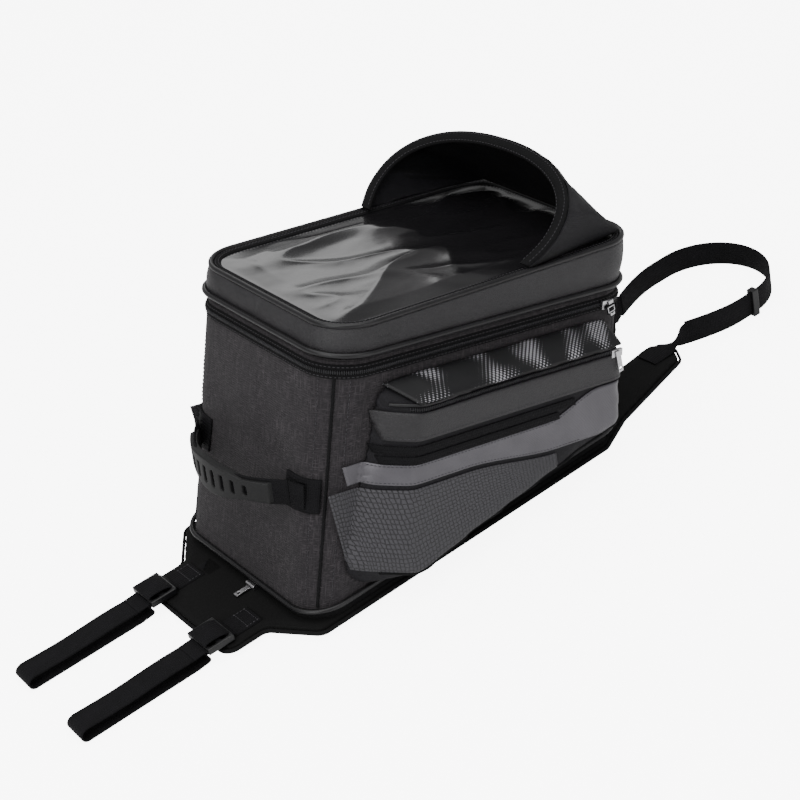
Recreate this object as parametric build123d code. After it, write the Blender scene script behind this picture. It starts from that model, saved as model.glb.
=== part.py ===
"""Motorcycle tank bag: a soft wedge-shaped bag with a map lid, a folding hood, two side
pockets and a rear grab handle, zipped onto a padded harness that straps to a fuel tank.

Frame: +X points forward (away from the rider), +Y to the left, +Z up. The origin is on the
flat underside of the harness pad, midway across it. All sizes are in millimetres.
"""
import os
from math import atan2, cos, degrees, pi, radians, sin, tan

from build123d import *

os.makedirs("parts", exist_ok=True)

# ---------------------------------------------------------------- driving dimensions
# harness pad
liner_thickness = 1.5
pad_thickness = 9.0
pad_side_margin = 5.0
pad_front_half_width = 106.0
pad_rear_margin = 18.0
pad_front_margin = 10.0
pad_vertex_radius = 13.0
tongue_length = 58.0
tongue_half_width = 78.0
tongue_corner_radius = 18.0
wing_length = 130.0
wing_root_width = 66.0
wing_tip_width = 46.0
wing_tip_y = 52.0
binding_diameter = 5.0
# bag body
body_gap = 1.0
body_width = 246.0
body_rear_x = -222.0
body_front_x = 190.0
body_bottom_radius = 38.0
wall = 3.0
floor_board_thickness = 3.0
board_gap = 5.0
parting_rear_x = -133.0
parting_rear_z = 264.0
parting_tilt = 14.9
parting_length = 374.0
parting_radius = 45.0
corner_seam_offset = 26.0
# lid
lid_rear_inset = 11.0
lid_rear_rise = 27.4
lid_tilt = 11.8
lid_overhang = 1.0
lid_side_overhang = 2.0
lid_radius = 45.0
lid_band_wall = 4.0
lid_board_thickness = 3.0
rim_width = 13.0
rim_thickness = 3.0
window_thickness = 0.8
lid_gap = 3.0
hinge_tape_drop = 8.0
hinge_tape_width = 130.0
piping_diameter = 5.0
# hood
hood_foot_s = 218.0
hood_lean = 45.0
hood_height = 118.0
hood_side_overhang = 2.0
hood_side_height = 34.0
hood_band = 12.0
hood_thickness = 2.0
hood_front_inset = 15.0
hood_lift = 1.2
# zips
zip_drop = 12.0
teeth_width = 6.0
teeth_height = 2.4
slider_length = 14.0
slider_width = 9.0
slider_height = 7.0
running_gap = 0.5
pull_length = 17.0
pocket_pull_length = 24.0
pull_width = 6.0
pull_thickness = 1.4
tag_length = 9.0
tag_width = 11.0
base_zip_height = 6.0
base_slider_y = -18.0
# side pockets
pocket_depth = 34.0
pocket_wall = 3.0
pocket_top_drop = 30.0
pocket_edge_drop = 46.0
pocket_floor_z = 25.5
pocket_rear_inset = 37.0
pocket_front_inset = 46.4
pocket_bevel = 21.0
pocket_lid_thickness = 3.0
pocket_lid_back_gap = 3.0
band_depth = 26.0
strip_drop = 106.0
strip_depth = 22.0
panel_drop = 132.0
trim_thickness = 1.2
# handle
handle_height_z = 134.0
handle_side_inset = 41.0
handle_droop = 12.0
handle_bow = 36.0
handle_pivot_offset = 9.0
grip_height = 36.0
grip_end_height = 22.0
handle_webbing_width = 28.0
grip_thickness = 8.0
grip_half_length = 70.0
slot_count = 8
slot_width = 4.8
slot_pitch = 13.6
tab_width = 34.0
tab_length = 26.0
webbing_thickness = 2.5
# straps
strap_width = 30.0
strap_thickness = 1.8
strap_y = 54.0
rear_strap_length = 130.0
rear_strap_gap = 11.0
buckle_length = 30.0
buckle_width = 40.0
buckle_height = 7.0
anchor_length = 44.0
front_strap_gap = 20.0
front_strap_reach = 160.0
front_strap_half_width = 70.0
keeper_length = 9.0

# ---------------------------------------------------------------- derived places
pad_z = liner_thickness
pad_top = pad_z + pad_thickness
floor_z = pad_top + base_zip_height + body_gap
half = body_width / 2
pad_half_width = half + pad_side_margin
pad_rear_x = body_rear_x - pad_rear_margin
pad_front_x = body_front_x + pad_front_margin
tongue_rear_x = pad_rear_x - tongue_length
lid_rear_x = parting_rear_x + lid_rear_inset
lid_rear_z = parting_rear_z + lid_rear_rise
lid_length = parting_length + lid_overhang
lid_width = body_width + 2 * lid_side_overhang
hood_half_width = lid_width / 2 + hood_side_overhang
hood_front_s = lid_length - hood_front_inset
handle_half_span = half - handle_side_inset
slope = tan(radians(parting_tilt))
parting_front_x = parting_rear_x + parting_length * cos(radians(parting_tilt))
pocket_rear_top_x = parting_rear_x + pocket_rear_inset
pocket_front_top_x = parting_front_x - pocket_front_inset
pocket_face_rear_x = pocket_rear_top_x + pocket_bevel
pocket_face_front_x = pocket_front_top_x - 12.0
pocket_low_front_x = body_front_x - 26.0


def parting_z(x):
    """Height of the zip parting line, which falls towards the front."""
    return parting_rear_z - slope * (x - parting_rear_x)


def parting_plane(lift=0.0):
    """Plane of the parting line, centred on the bag, raised along its normal by lift."""
    mid_x = (parting_rear_x + parting_front_x) / 2
    plane = Plane(origin=(mid_x, 0, parting_z(mid_x)),
                  x_dir=(cos(radians(parting_tilt)), 0, -sin(radians(parting_tilt))),
                  z_dir=(sin(radians(parting_tilt)), 0, cos(radians(parting_tilt))))
    return plane.offset(lift)


def lid_plane(s=0.0, lift=0.0):
    """Plane of the lid's top at distance s from its rear edge, raised by lift."""
    t = radians(lid_tilt)
    plane = Plane(origin=(lid_rear_x + s * cos(t), 0, lid_rear_z - s * sin(t)),
                  x_dir=(cos(t), 0, -sin(t)), z_dir=(sin(t), 0, cos(t)))
    return plane.offset(lift)


def side_slab(points, depth=400.0):
    """Prism of an outline in the XZ plane, symmetric about the bag's middle plane."""
    return extrude(Plane.XZ * make_face(Polyline(*points, close=True)), depth, both=True)


def ring_loft(low, low_size, high, high_size, inset):
    """Ruled wall between two rounded rectangles, open at both ends."""
    def solid(shrink, reach):
        sections = []
        for plane, size, lift in ((low, low_size, -reach), (high, high_size, reach)):
            length, width, radius = size
            sections.append(plane.offset(lift) * RectangleRounded(
                length - 2 * shrink, width - 2 * shrink, radius - shrink))
        return loft(sections, ruled=True)
    return solid(0, 0) - solid(inset, 0.01)


def mirrored(shape):
    return mirror(shape, about=Plane.XZ)


def tube_ring(plane, size, diameter):
    """Round cord around a rounded rectangle."""
    length, width, radius = size
    path = plane * RectangleRounded(length, width, radius).wire()
    start = path @ 0
    return sweep(Plane(origin=start, z_dir=path % 0) * Circle(diameter / 2), path=path)


def joined(shapes):
    return Compound(children=[s for shape in shapes for s in shape.solids()])


nodes = {}

# ---------------------------------------------------------------- harness pad


def pad_outline():
    """Pad with a rear tongue; its front corners slope in to two wings that reach on."""
    shoulder = tongue_half_width + tongue_corner_radius
    notch_y = pad_front_half_width - wing_root_width
    wing_x = pad_front_x + wing_length
    points = [(tongue_rear_x, -tongue_half_width), (pad_rear_x - 12, -tongue_half_width),
              (pad_rear_x, -shoulder), (pad_rear_x + 22, -pad_half_width),
              (pad_front_x - 45, -pad_half_width), (pad_front_x, -pad_front_half_width),
              (wing_x - 14, -wing_tip_y - wing_tip_width / 2), (wing_x, -wing_tip_y),
              (wing_x - 14, -wing_tip_y + wing_tip_width / 2),
              (pad_front_x + 22, -notch_y), (pad_front_x + 8, 0)]
    points += [(x, -y) for x, y in reversed(points[:-1])]
    return Polyline(*points, close=True)


pad_face = make_face(pad_outline())
sharp = [v for v in pad_face.vertices() if abs(v.Y) > 1]
pad_face = fillet(sharp, pad_vertex_radius).face()
pad = extrude(Plane.XY.offset(pad_z) * pad_face, pad_thickness)
nodes["harness_pad"] = pad
liner = offset(pad_face, amount=-6.0)
nodes["grip_liner"] = extrude(liner, liner_thickness)

binding_path = Plane.XY.offset(pad_z + pad_thickness / 2) * pad_face.outer_wire()
binding_plane = Plane(origin=binding_path @ 0, z_dir=binding_path % 0)
binding = sweep(binding_plane * Circle(binding_diameter / 2), path=binding_path,
                transition=Transition.ROUND)
nodes["pad_binding"] = binding - pad

# harness half of the base zip: a low wall around the footprint of the bag
base_length = body_front_x - body_rear_x
base_mid = Plane(origin=((body_front_x + body_rear_x) / 2, 0, pad_top))
zip_outer = base_mid * RectangleRounded(base_length, body_width, body_bottom_radius)
zip_inner = base_mid * RectangleRounded(base_length - 6, body_width - 6, body_bottom_radius - 3)
front_cut = Pos(body_front_x, 0, pad_top) * Box(60, body_width * 2, 40)
nodes["base_zip_tape"] = extrude(zip_outer - zip_inner, base_zip_height) - front_cut

# base zip slider rides outside the rear run of the base zip
slider_x = body_rear_x - running_gap - slider_height / 2
base_slider_z = pad_top + running_gap + base_zip_height / 2
base_slider = Pos(slider_x, base_slider_y, base_slider_z) * Box(
    slider_height, slider_length, base_zip_height)
base_slider = chamfer(base_slider.edges().filter_by(Axis.Y), 1.2)
nodes["base_zip_slider"] = base_slider
pull_x = slider_x - slider_height / 2 - running_gap - pull_thickness / 2
base_pull = Pos(pull_x - pull_length / 2 + pull_thickness / 2, base_slider_y, base_slider_z) * Box(
    pull_length, pull_width, pull_thickness)
base_pull -= Pos(pull_x - pull_length + 5, base_slider_y, base_slider_z) * Cylinder(1.6, 10)
nodes["base_zip_pull"] = base_pull

label = Pos(body_rear_x - 16, 46, pad_top + 0.6) * Box(15, 22, 1.2)
nodes["blank_label"] = label

# ---------------------------------------------------------------- rear straps


def rear_anchor(side):
    """Webbing sewn flat on the tongue, ending short of the buckle."""
    x0 = tongue_rear_x + 6
    return Pos(x0 + anchor_length / 2, side * strap_y, pad_top + webbing_thickness / 2) * Box(
        anchor_length, strap_width, webbing_thickness)


def ladder_buckle(side):
    """Ladder-lock frame with two bars."""
    frame = Box(buckle_length, buckle_width, buckle_height)
    slot = Box(8, strap_width + 2, buckle_height * 2)
    frame = frame - Pos(-7, 0, 0) * slot - Pos(7, 0, 0) * slot
    z = pad_top + webbing_thickness + buckle_height / 2
    return Pos(tongue_rear_x, side * strap_y, z) * frame


strap_root_x = tongue_rear_x - buckle_length / 2 - rear_strap_gap
strap_low = strap_thickness / 2


def rear_loop(side):
    """Flat webbing loop: an upper and a lower run joined by a round turn at the far end."""
    top = strap_low + rear_strap_gap + strap_thickness
    r = (rear_strap_gap + strap_thickness) / 2
    far_x = strap_root_x - rear_strap_length + r
    profile = Plane.XZ * (Line((strap_root_x, top), (far_x, top))
                          + ThreePointArc((far_x, top), (far_x - r, strap_low + r), (far_x, strap_low))
                          + Line((far_x, strap_low), (strap_root_x, strap_low)))
    section = Plane(origin=(strap_root_x, 0, top), x_dir=(0, 1, 0), z_dir=(-1, 0, 0)) * Rectangle(
        strap_width, strap_thickness)
    loop = sweep(section, path=profile)
    return Pos(0, side * strap_y, 0) * loop


for name, side in (("left", 1), ("right", -1)):
    nodes[f"rear_strap_anchor_{name}"] = rear_anchor(side)
    nodes[f"rear_buckle_{name}"] = ladder_buckle(side)
    nodes[f"rear_strap_{name}"] = rear_loop(side)

# ---------------------------------------------------------------- front strap
wing_tip_x = pad_front_x + wing_length
front_root_x = wing_tip_x + front_strap_gap
front_strap_z = 1.5
keeper_z = front_strap_z + strap_width / 2


def front_tab(side):
    """Webbing tab sewn on a wing."""
    return Pos(wing_tip_x - 24, side * wing_tip_y, pad_top + webbing_thickness / 2) * Box(
        36, strap_width * 0.9, webbing_thickness)


def front_loop():
    """Webbing standing on edge, running forward from both wings round one wide turn."""
    w = front_strap_half_width
    x1 = front_root_x
    x2 = x1 + front_strap_reach - w
    half_path = (Spline((x1, -wing_tip_y), (x1 + 50, -w + 4), (x2, -w),
                        tangents=((1, -0.55), (1, 0)))
                 + ThreePointArc((x2, -w), (x2 + w, 0), (x2, w))
                 + Spline((x2, w), (x1 + 50, w - 4), (x1, wing_tip_y),
                          tangents=((-1, 0), (-1, -0.55))))
    start = half_path @ 0
    section = Plane(origin=start, x_dir=(0, 0, 1), z_dir=half_path % 0) * Rectangle(
        strap_width, strap_thickness)
    loop = sweep(section, path=half_path)
    return Pos(0, 0, front_strap_z + strap_width / 2) * loop


nodes["front_strap_tabs"] = joined([front_tab(1), front_tab(-1)])
nodes["front_strap"] = front_loop()
keeper = Box(keeper_length, 4 * strap_thickness + 2, strap_width + 3)
keeper -= Box(keeper_length * 2, strap_thickness + 0.6, strap_width + 0.6)
keeper_x = front_root_x + front_strap_reach - front_strap_half_width
nodes["front_strap_keeper"] = Pos(keeper_x, -front_strap_half_width, keeper_z) * keeper

# ---------------------------------------------------------------- bag body
body_low = Plane(origin=((body_front_x + body_rear_x) / 2, 0, floor_z))
body_low_size = (base_length, body_width, body_bottom_radius)
body_top_size = (parting_length, body_width, parting_radius)
body_wall = ring_loft(body_low, body_low_size, parting_plane(), body_top_size, wall)


def body_loft(growth):
    """Solid of the bag between its floor and the parting line, grown sideways."""
    sections = []
    for plane, size in ((body_low, body_low_size), (parting_plane(), body_top_size)):
        length, width, radius = size
        sections.append(plane * RectangleRounded(
            length + 2 * growth, width + 2 * growth, radius + growth))
    return loft(sections, ruled=True)


body_solid = body_loft(0)

rear_cut = side_slab([(body_rear_x - 50, -20), (body_rear_x + corner_seam_offset, -20),
                      (body_rear_x + corner_seam_offset, floor_z),
                      (parting_rear_x + corner_seam_offset, parting_rear_z + 20),
                      (parting_rear_x - 120, parting_rear_z + 20)])
front_cut = side_slab([(body_front_x + 90, -20), (body_front_x - corner_seam_offset, -20),
                       (body_front_x - corner_seam_offset, floor_z),
                       (parting_front_x - corner_seam_offset, parting_rear_z),
                       (parting_front_x + 90, parting_rear_z)])
left_half = Pos(0, 250, 150) * Box(900, 500, 500)
middle = body_wall - rear_cut - front_cut
nodes["rear_panel"] = body_wall & rear_cut
nodes["front_panel"] = body_wall & front_cut
nodes["left_panel"] = middle & left_half
nodes["right_panel"] = middle - left_half

floor_face = body_low * RectangleRounded(base_length - 2 * wall - board_gap, body_width - 2 * wall - 1,
                                         body_bottom_radius - wall)
nodes["floor_board"] = extrude(floor_face, floor_board_thickness)
bottom_ring_plane = Plane(origin=((body_front_x + body_rear_x) / 2, 0, floor_z + 4.5))
nodes["bottom_piping"] = tube_ring(
    bottom_ring_plane, (base_length + piping_diameter - 1, body_width + piping_diameter,
                        body_bottom_radius + 1), piping_diameter) - body_solid

# teeth of the main zip, around the body just under the parting line
zip_skin = body_loft(teeth_height) - body_solid
slab = Rectangle(2 * parting_length, 2 * body_width)
nodes["main_zip_teeth"] = zip_skin & extrude(parting_plane(-zip_drop) * slab, teeth_width / 2, both=True)

# fabric hinge tape sewn on the front panel under the lid
tape_slab = extrude(parting_plane(-hinge_tape_drop) * slab, hinge_tape_drop - 1)
hinge_keep = Pos(parting_front_x, 0, parting_z(parting_front_x)) * Box(40, hinge_tape_width, 60)
nodes["lid_hinge_tape"] = zip_skin & tape_slab & hinge_keep

# main zip slider and pull, parked at the front of the right side
zip_dir = Vector(cos(radians(parting_tilt)), 0, -sin(radians(parting_tilt)))


def along_parting(x, y, lift=0.0):
    """Frame on the parting line at x: local x along the zip, z up out of the parting."""
    t = radians(parting_tilt)
    base = Plane(origin=(x, y, parting_z(x)), x_dir=(cos(t), 0, -sin(t)),
                 z_dir=(sin(t), 0, cos(t)))
    return base.offset(lift)


main_slider_x = parting_front_x - 40.4
slider_y = half + teeth_height + running_gap
main_slider_frame = along_parting(main_slider_x, -slider_y, -zip_drop)
main_slider = main_slider_frame * (Pos(0, -slider_height / 4, 0) * Box(
    slider_length, slider_height / 2, slider_width))
nodes["main_zip_slider"] = main_slider


def hanging_pull(x, y, z, side, length=pull_length):
    """Flat tongue with an eye, hanging down beside a slider."""
    body = Box(pull_width, pull_thickness, length)
    eye = Rot(90, 0, 0) * Cylinder(1.7, 10)
    body = body - Pos(0, 0, -length / 2 + 4) * eye
    return Pos(x, y + side * pull_thickness / 2, z - length / 2) * body


main_pull_y = -slider_y - slider_height / 2 - running_gap
main_pull_z = parting_z(main_slider_x) - zip_drop + 4
nodes["main_zip_pull"] = hanging_pull(main_slider_x, main_pull_y, main_pull_z, -1)
tag_y = main_pull_y - pull_thickness - running_gap
nodes["main_zip_tag"] = Pos(main_slider_x - 2, tag_y, main_pull_z - 4 - tag_length / 2) * Box(
    tag_width, 0.9, tag_length)

# ---------------------------------------------------------------- rear handle
lean = atan2(parting_rear_x - body_rear_x, parting_rear_z - floor_z)
rear_plane = Plane(origin=(body_rear_x + (handle_height_z - floor_z) * tan(lean), 0, handle_height_z),
                   x_dir=(0, 1, 0), z_dir=(-cos(lean), 0, sin(lean)))


def on_rear(shape):
    """Place a shape drawn with x across the bag, y down the panel and z out of it."""
    return rear_plane * shape


body_skin = body_loft(webbing_thickness) - body_solid


def handle_tab(side):
    """Webbing sewn to the rear panel and bent round its corner."""
    y = side * (handle_half_span + 5 + tab_length / 2)
    return body_skin & on_rear(Pos(y, 0, 0) * Box(tab_length, tab_width, 60))


nodes["handle_tabs"] = joined([handle_tab(1), handle_tab(-1)])

bow = ThreePointArc((-handle_half_span, handle_pivot_offset), (0, handle_pivot_offset + handle_bow),
                    (handle_half_span, handle_pivot_offset))
bow_radius = bow.radius
bow_centre = bow.arc_center


def bow_slab(thickness, height):
    """Curved bar that follows the bow of the handle."""
    ring = (Circle(bow_radius + thickness / 2) - Circle(bow_radius - thickness / 2))
    ring = Pos(bow_centre.X, bow_centre.Y) * ring
    keep = Pos(0, handle_pivot_offset + 60) * Rectangle(2 * handle_half_span, 120)
    bar = extrude(Plane.XZ * (ring & keep), height / 2, both=True)
    return bar


grip_blank = bow_slab(grip_thickness, grip_height)
leaf = Plane.XY * make_face(
    ThreePointArc((-grip_half_length, 0), (0, grip_height / 2), (grip_half_length, 0))
    + ThreePointArc((grip_half_length, 0), (0, -grip_height / 2), (-grip_half_length, 0)))
leaf_hull = extrude(leaf, 200, both=True)
end_bar = Box(2 * grip_half_length, grip_end_height, 400)
grip = grip_blank & (leaf_hull + end_bar)
for i in range(slot_count):
    x = (i - (slot_count - 1) / 2) * slot_pitch
    depth = 0.52 * grip_height * (1 - (x / grip_half_length) ** 2)
    grip -= Pos(x, 0, 0) * Box(slot_width, depth, 400)
grip_zone = Box(2 * grip_half_length, 200, 400)
hang = Pos(0, 0, handle_pivot_offset) * Rot(-handle_droop, 0, 0) * Pos(0, 0, -handle_pivot_offset)
nodes["handle_grip"] = on_rear(hang * (grip & grip_zone))
webbing_bar = bow_slab(webbing_thickness, handle_webbing_width) - grip_zone
webbing_bar -= Box(2 * handle_half_span + 40, 100, 2 * (handle_pivot_offset - 2))
nodes["handle_webbing"] = on_rear(hang * webbing_bar)

# ---------------------------------------------------------------- lid
lid_mid = lid_plane(lid_length / 2)
lid_size = (lid_length, lid_width, lid_radius)
lid_low_size = (parting_length + 1, lid_width, parting_radius)
lid_band = ring_loft(parting_plane(lid_gap), lid_low_size, lid_mid, lid_size, lid_band_wall)
nodes["lid_band"] = lid_band

inner_length = lid_length - 2 * lid_band_wall - 1
inner_size = (inner_length, lid_width - 2 * lid_band_wall - 1, lid_radius - lid_band_wall)
board = extrude(lid_mid.offset(-rim_thickness - lid_board_thickness - 0.2) * RectangleRounded(
    inner_size[0] - 4, inner_size[1] - 2, inner_size[2] - 1), lid_board_thickness)
nodes["lid_board"] = board
window_size = (inner_size[0] - 2 * rim_width, inner_size[1] - 2 * rim_width,
               inner_size[2] - rim_width + 6)
rim = extrude(lid_mid.offset(-rim_thickness) * (
    RectangleRounded(*inner_size) - RectangleRounded(*window_size)), rim_thickness)
nodes["window_rim"] = rim
nodes["map_window"] = extrude(lid_mid.offset(-window_thickness) * RectangleRounded(
    window_size[0] - 0.2, window_size[1] - 0.2, window_size[2]), window_thickness)
top_ring = tube_ring(lid_plane(lid_length / 2, piping_diameter / 2 + 0.05), (
    lid_length - piping_diameter, lid_width - piping_diameter, lid_radius - piping_diameter / 2),
    piping_diameter)
nodes["lid_top_piping"] = top_ring
low_ring = tube_ring(parting_plane(lid_gap + piping_diameter / 2), (
    parting_length + 1 + piping_diameter, lid_width + piping_diameter,
    parting_radius + piping_diameter / 2), piping_diameter)
nodes["lid_lower_piping"] = low_ring - lid_band

# ---------------------------------------------------------------- hood on the lid
hood_plane = lid_plane(hood_foot_s, hood_lift + piping_diameter)
lean_dir = radians(hood_lean)
arch_plane = Plane(origin=hood_plane.origin, x_dir=(0, 1, 0),
                   z_dir=(hood_plane.x_dir * cos(lean_dir) - hood_plane.z_dir * sin(lean_dir)))


def arch_outline(shrink):
    """Mouth of the hood: upright sides under a broad elliptical crown."""
    a = hood_half_width - shrink
    top = hood_height - shrink
    crown = top - hood_side_height
    lower = Rectangle(2 * a, hood_side_height, align=(Align.CENTER, Align.MIN))
    upper = Pos(0, hood_side_height) * (Ellipse(a, crown) & Rectangle(
        2 * a, crown, align=(Align.CENTER, Align.MIN)))
    return lower + upper


up_in_arch = arch_plane.y_dir.dot(hood_plane.z_dir) > 0
arch_turn = Rot(0, 0, 0 if up_in_arch else 180)
arch_ring = arch_turn * (arch_outline(0) - arch_outline(hood_band))
nodes["hood_arch"] = extrude(arch_plane * arch_ring, hood_thickness / 2, both=True)


# canopy: a thin shell from the arch down to the front of the lid
def arch_points(plane, shrink, steps=12):
    """Corner points of the hood mouth, as a polygon that a loft can follow."""
    a = hood_half_width - shrink
    crown = hood_height - shrink - hood_side_height
    points = [(a, 0), (a, hood_side_height)]
    for i in range(1, steps):
        angle = pi * i / steps
        points.append((a * cos(angle), hood_side_height + crown * sin(angle)))
    points += [(-a, hood_side_height), (-a, 0)]
    sign = 1 if plane.y_dir.dot(hood_plane.z_dir) > 0 else -1
    return [plane.from_local_coords((x, sign * y, 0)) for x, y in points]


def canopy_shell():
    """Ruled canopy between the mouth and the front edge of the lid, closed to a shell."""
    front_plane = Plane(origin=lid_plane(hood_front_s, hood_lift + piping_diameter).origin,
                        x_dir=(0, 1, 0), z_dir=hood_plane.x_dir)
    shells = []
    for shrink in (0.0, hood_thickness):
        mouth = arch_points(arch_plane, shrink)
        a = hood_half_width - 22 - shrink
        top = 8.0 - shrink
        steps = len(mouth)
        sign = 1 if front_plane.y_dir.dot(hood_plane.z_dir) > 0 else -1
        low = [(a, 0), (a, top)]
        low += [(a * cos(pi * i / (steps - 3)), top) for i in range(1, steps - 3)]
        low += [(-a, top), (-a, 0)]
        front = [front_plane.from_local_coords((x, sign * y, 0)) for x, y in low]
        wires = [Polyline(*points, close=True) for points in (mouth, front)]
        shells.append(loft([make_face(w) for w in wires], ruled=True))
    outer, inner = shells
    ground = hood_plane.offset(-0.01)
    under = ground * (Pos(60, 0, -50) * Box(600, 600, 100))
    behind = arch_plane.offset(hood_thickness / 2 + 0.3) * (Pos(0, 0, -100) * Box(900, 900, 200))
    return outer - inner - under - behind


nodes["hood_canopy"] = canopy_shell()

# ---------------------------------------------------------------- side pockets
edge_y = half + pocket_depth
pocket_side_back = [(pocket_rear_top_x, parting_z(pocket_rear_top_x) - pocket_top_drop),
                    (body_rear_x + 39, 56.0), (body_rear_x + 54, pocket_floor_z),
                    (pocket_low_front_x, 46.0),
                    (pocket_front_top_x, parting_z(pocket_front_top_x) - pocket_top_drop)]
pocket_side_front = [(pocket_face_rear_x, parting_z(pocket_face_rear_x) - pocket_edge_drop),
                     (body_rear_x + 92, 56.0), (body_rear_x + 104, pocket_floor_z + 1),
                     (pocket_low_front_x - 8, 50.0),
                     (pocket_face_front_x, parting_z(pocket_face_front_x) - pocket_edge_drop)]


def inset_outline(points, amount, raise_top=0.0):
    """Outline shrunk evenly, with its two top corners optionally raised."""
    face = make_face(Polyline(*points, close=True))
    inner = offset(face, amount=-amount, kind=Kind.INTERSECTION)
    corners = [(v.X, v.Y) for v in inner.vertices()]
    ordered = []
    for x, y in points:
        ordered.append(min(corners, key=lambda c: (c[0] - x) ** 2 + (c[1] - y) ** 2))
    ordered[0] = (ordered[0][0], ordered[0][1] + raise_top)
    ordered[-1] = (ordered[-1][0], ordered[-1][1] + raise_top)
    return ordered


def pocket_block(back, front, back_y, front_y):
    """Block on the right side, drawn by its outlines against the bag and outside."""
    sections = []
    for outline, y in ((back, back_y), (front, front_y)):
        plane = Plane(origin=(0, -y, 0), x_dir=(1, 0, 0), z_dir=(0, -1, 0))
        sections.append(plane * make_face(Polyline(*outline, close=True)))
    return loft(sections, ruled=True)


pocket_outer = pocket_block(pocket_side_back, pocket_side_front, half, edge_y)
pocket_inner = pocket_block(inset_outline(pocket_side_back, pocket_wall, 12),
                            inset_outline(pocket_side_front, pocket_wall, 12),
                            half - 0.01, edge_y - pocket_wall)
back_corner = Vector(pocket_rear_top_x, -half, pocket_side_back[0][1])
drop_vector = Vector(0, -pocket_depth, -(pocket_edge_drop - pocket_top_drop))
top_normal = zip_dir.cross(drop_vector).normalized()
if top_normal.Z < 0:
    top_normal = top_normal * -1
top_plane = Plane(origin=back_corner, x_dir=zip_dir, z_dir=top_normal)
above_top = top_plane.offset(-running_gap) * (Pos(150, 0, 50) * Box(700, 500, 100))
pocket_shell = pocket_outer - pocket_inner - above_top
nodes["right_pocket_shell"] = pocket_shell

# lid of the pocket: a stiffened panel in the sloping top plane, hinged along the bag
slant = (pocket_depth ** 2 + (pocket_edge_drop - pocket_top_drop) ** 2) ** 0.5


def top_point(x, out):
    """Local point of the pocket's top plane at world x and distance out from the bag."""
    share = out / slant
    y = -half - share * pocket_depth
    z = parting_z(x) - pocket_top_drop - share * (pocket_edge_drop - pocket_top_drop)
    local = top_plane.to_local_coords(Vector(x, y, z))
    return (local.X, local.Y)


lid_outline = [top_point(pocket_rear_top_x + 4, pocket_lid_back_gap),
               top_point(pocket_front_top_x - 3, pocket_lid_back_gap),
               top_point(pocket_face_front_x + 1, slant + 1.0),
               top_point(pocket_face_rear_x + 1, slant + 1.0)]
pocket_lid = extrude(top_plane * make_face(Polyline(*lid_outline, close=True)),
                     pocket_lid_thickness)
nodes["right_pocket_lid"] = pocket_lid

face_plane = Plane(origin=(0, -edge_y, 0), x_dir=(1, 0, 0), z_dir=(0, -1, 0))


def trim_strip(x0, x1, top_drop, low_drop):
    """Strip on the pocket's outer face between two lines parallel to the parting line."""
    points = [(x0, parting_z(x0) - top_drop), (x1, parting_z(x1) - top_drop),
              (x1, parting_z(x1) - low_drop), (x0, parting_z(x0) - low_drop)]
    return extrude(face_plane * make_face(Polyline(*points, close=True)), trim_thickness)


band_top = pocket_edge_drop + 6.0
nodes["right_pocket_band"] = trim_strip(
    pocket_face_rear_x - 3, pocket_face_front_x - 4, band_top, band_top + band_depth)
nodes["right_reflective_strip"] = trim_strip(
    pocket_face_rear_x - 15, pocket_face_front_x - 48, strip_drop, strip_drop + strip_depth)
panel_rear_x = pocket_face_rear_x - 22
panel_points = [(panel_rear_x, parting_z(panel_rear_x) - panel_drop),
                (panel_rear_x + 157, parting_z(panel_rear_x + 157) - panel_drop - 12),
                (body_rear_x + 202, 48.0), (body_rear_x + 156, 34.0),
                (body_rear_x + 110, 32.0), (body_rear_x + 101, 56.0)]
nodes["right_embossed_panel"] = extrude(
    face_plane * make_face(Polyline(*panel_points, close=True)), trim_thickness)

# zip of the pocket: teeth along the top of the outer face, slider and pull outside them
nodes["right_pocket_teeth"] = trim_strip(
    pocket_face_rear_x + 5, pocket_face_front_x - 4, pocket_edge_drop + 1.5, pocket_edge_drop + 4.5)
pocket_slider_x = pocket_face_front_x - 9
pocket_slider_y = edge_y + trim_thickness + running_gap
slider_plane = Plane(origin=(pocket_slider_x, -pocket_slider_y,
                             parting_z(pocket_slider_x) - pocket_edge_drop - 6),
                     x_dir=zip_dir, z_dir=(sin(radians(parting_tilt)), 0, cos(radians(parting_tilt))))
nodes["right_pocket_slider"] = slider_plane * (Pos(0, -1.75, 0) * Box(slider_length, 3.5, 8))
pocket_pull_y = -pocket_slider_y - 3.5 - running_gap
pocket_pull_z = parting_z(pocket_slider_x) - pocket_edge_drop - 3
nodes["right_pocket_pull"] = hanging_pull(
    pocket_slider_x, pocket_pull_y, pocket_pull_z, -1, pocket_pull_length)

for name in [n for n in nodes if n.startswith("right_") and n != "right_panel"]:
    nodes[name.replace("right_", "left_", 1)] = mirrored(nodes[name])

# ---------------------------------------------------------------- write the parts
for name, shape in nodes.items():
    export_step(shape, f"parts/{name}.step")
print(len(nodes), "nodes; parting front x", round(parting_front_x, 1),
      "rear lean", round(degrees(lean), 1))
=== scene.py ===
"""Looks of the motorcycle tank bag: cloth, vinyl, webbing, zips and mouldings, built round the frame."""
from math import atan2, cos, pi, radians, sin, sqrt, tan

import bmesh
import bpy
from mathutils import Matrix, Vector, noise
from mathutils.bvhtree import BVHTree


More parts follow.
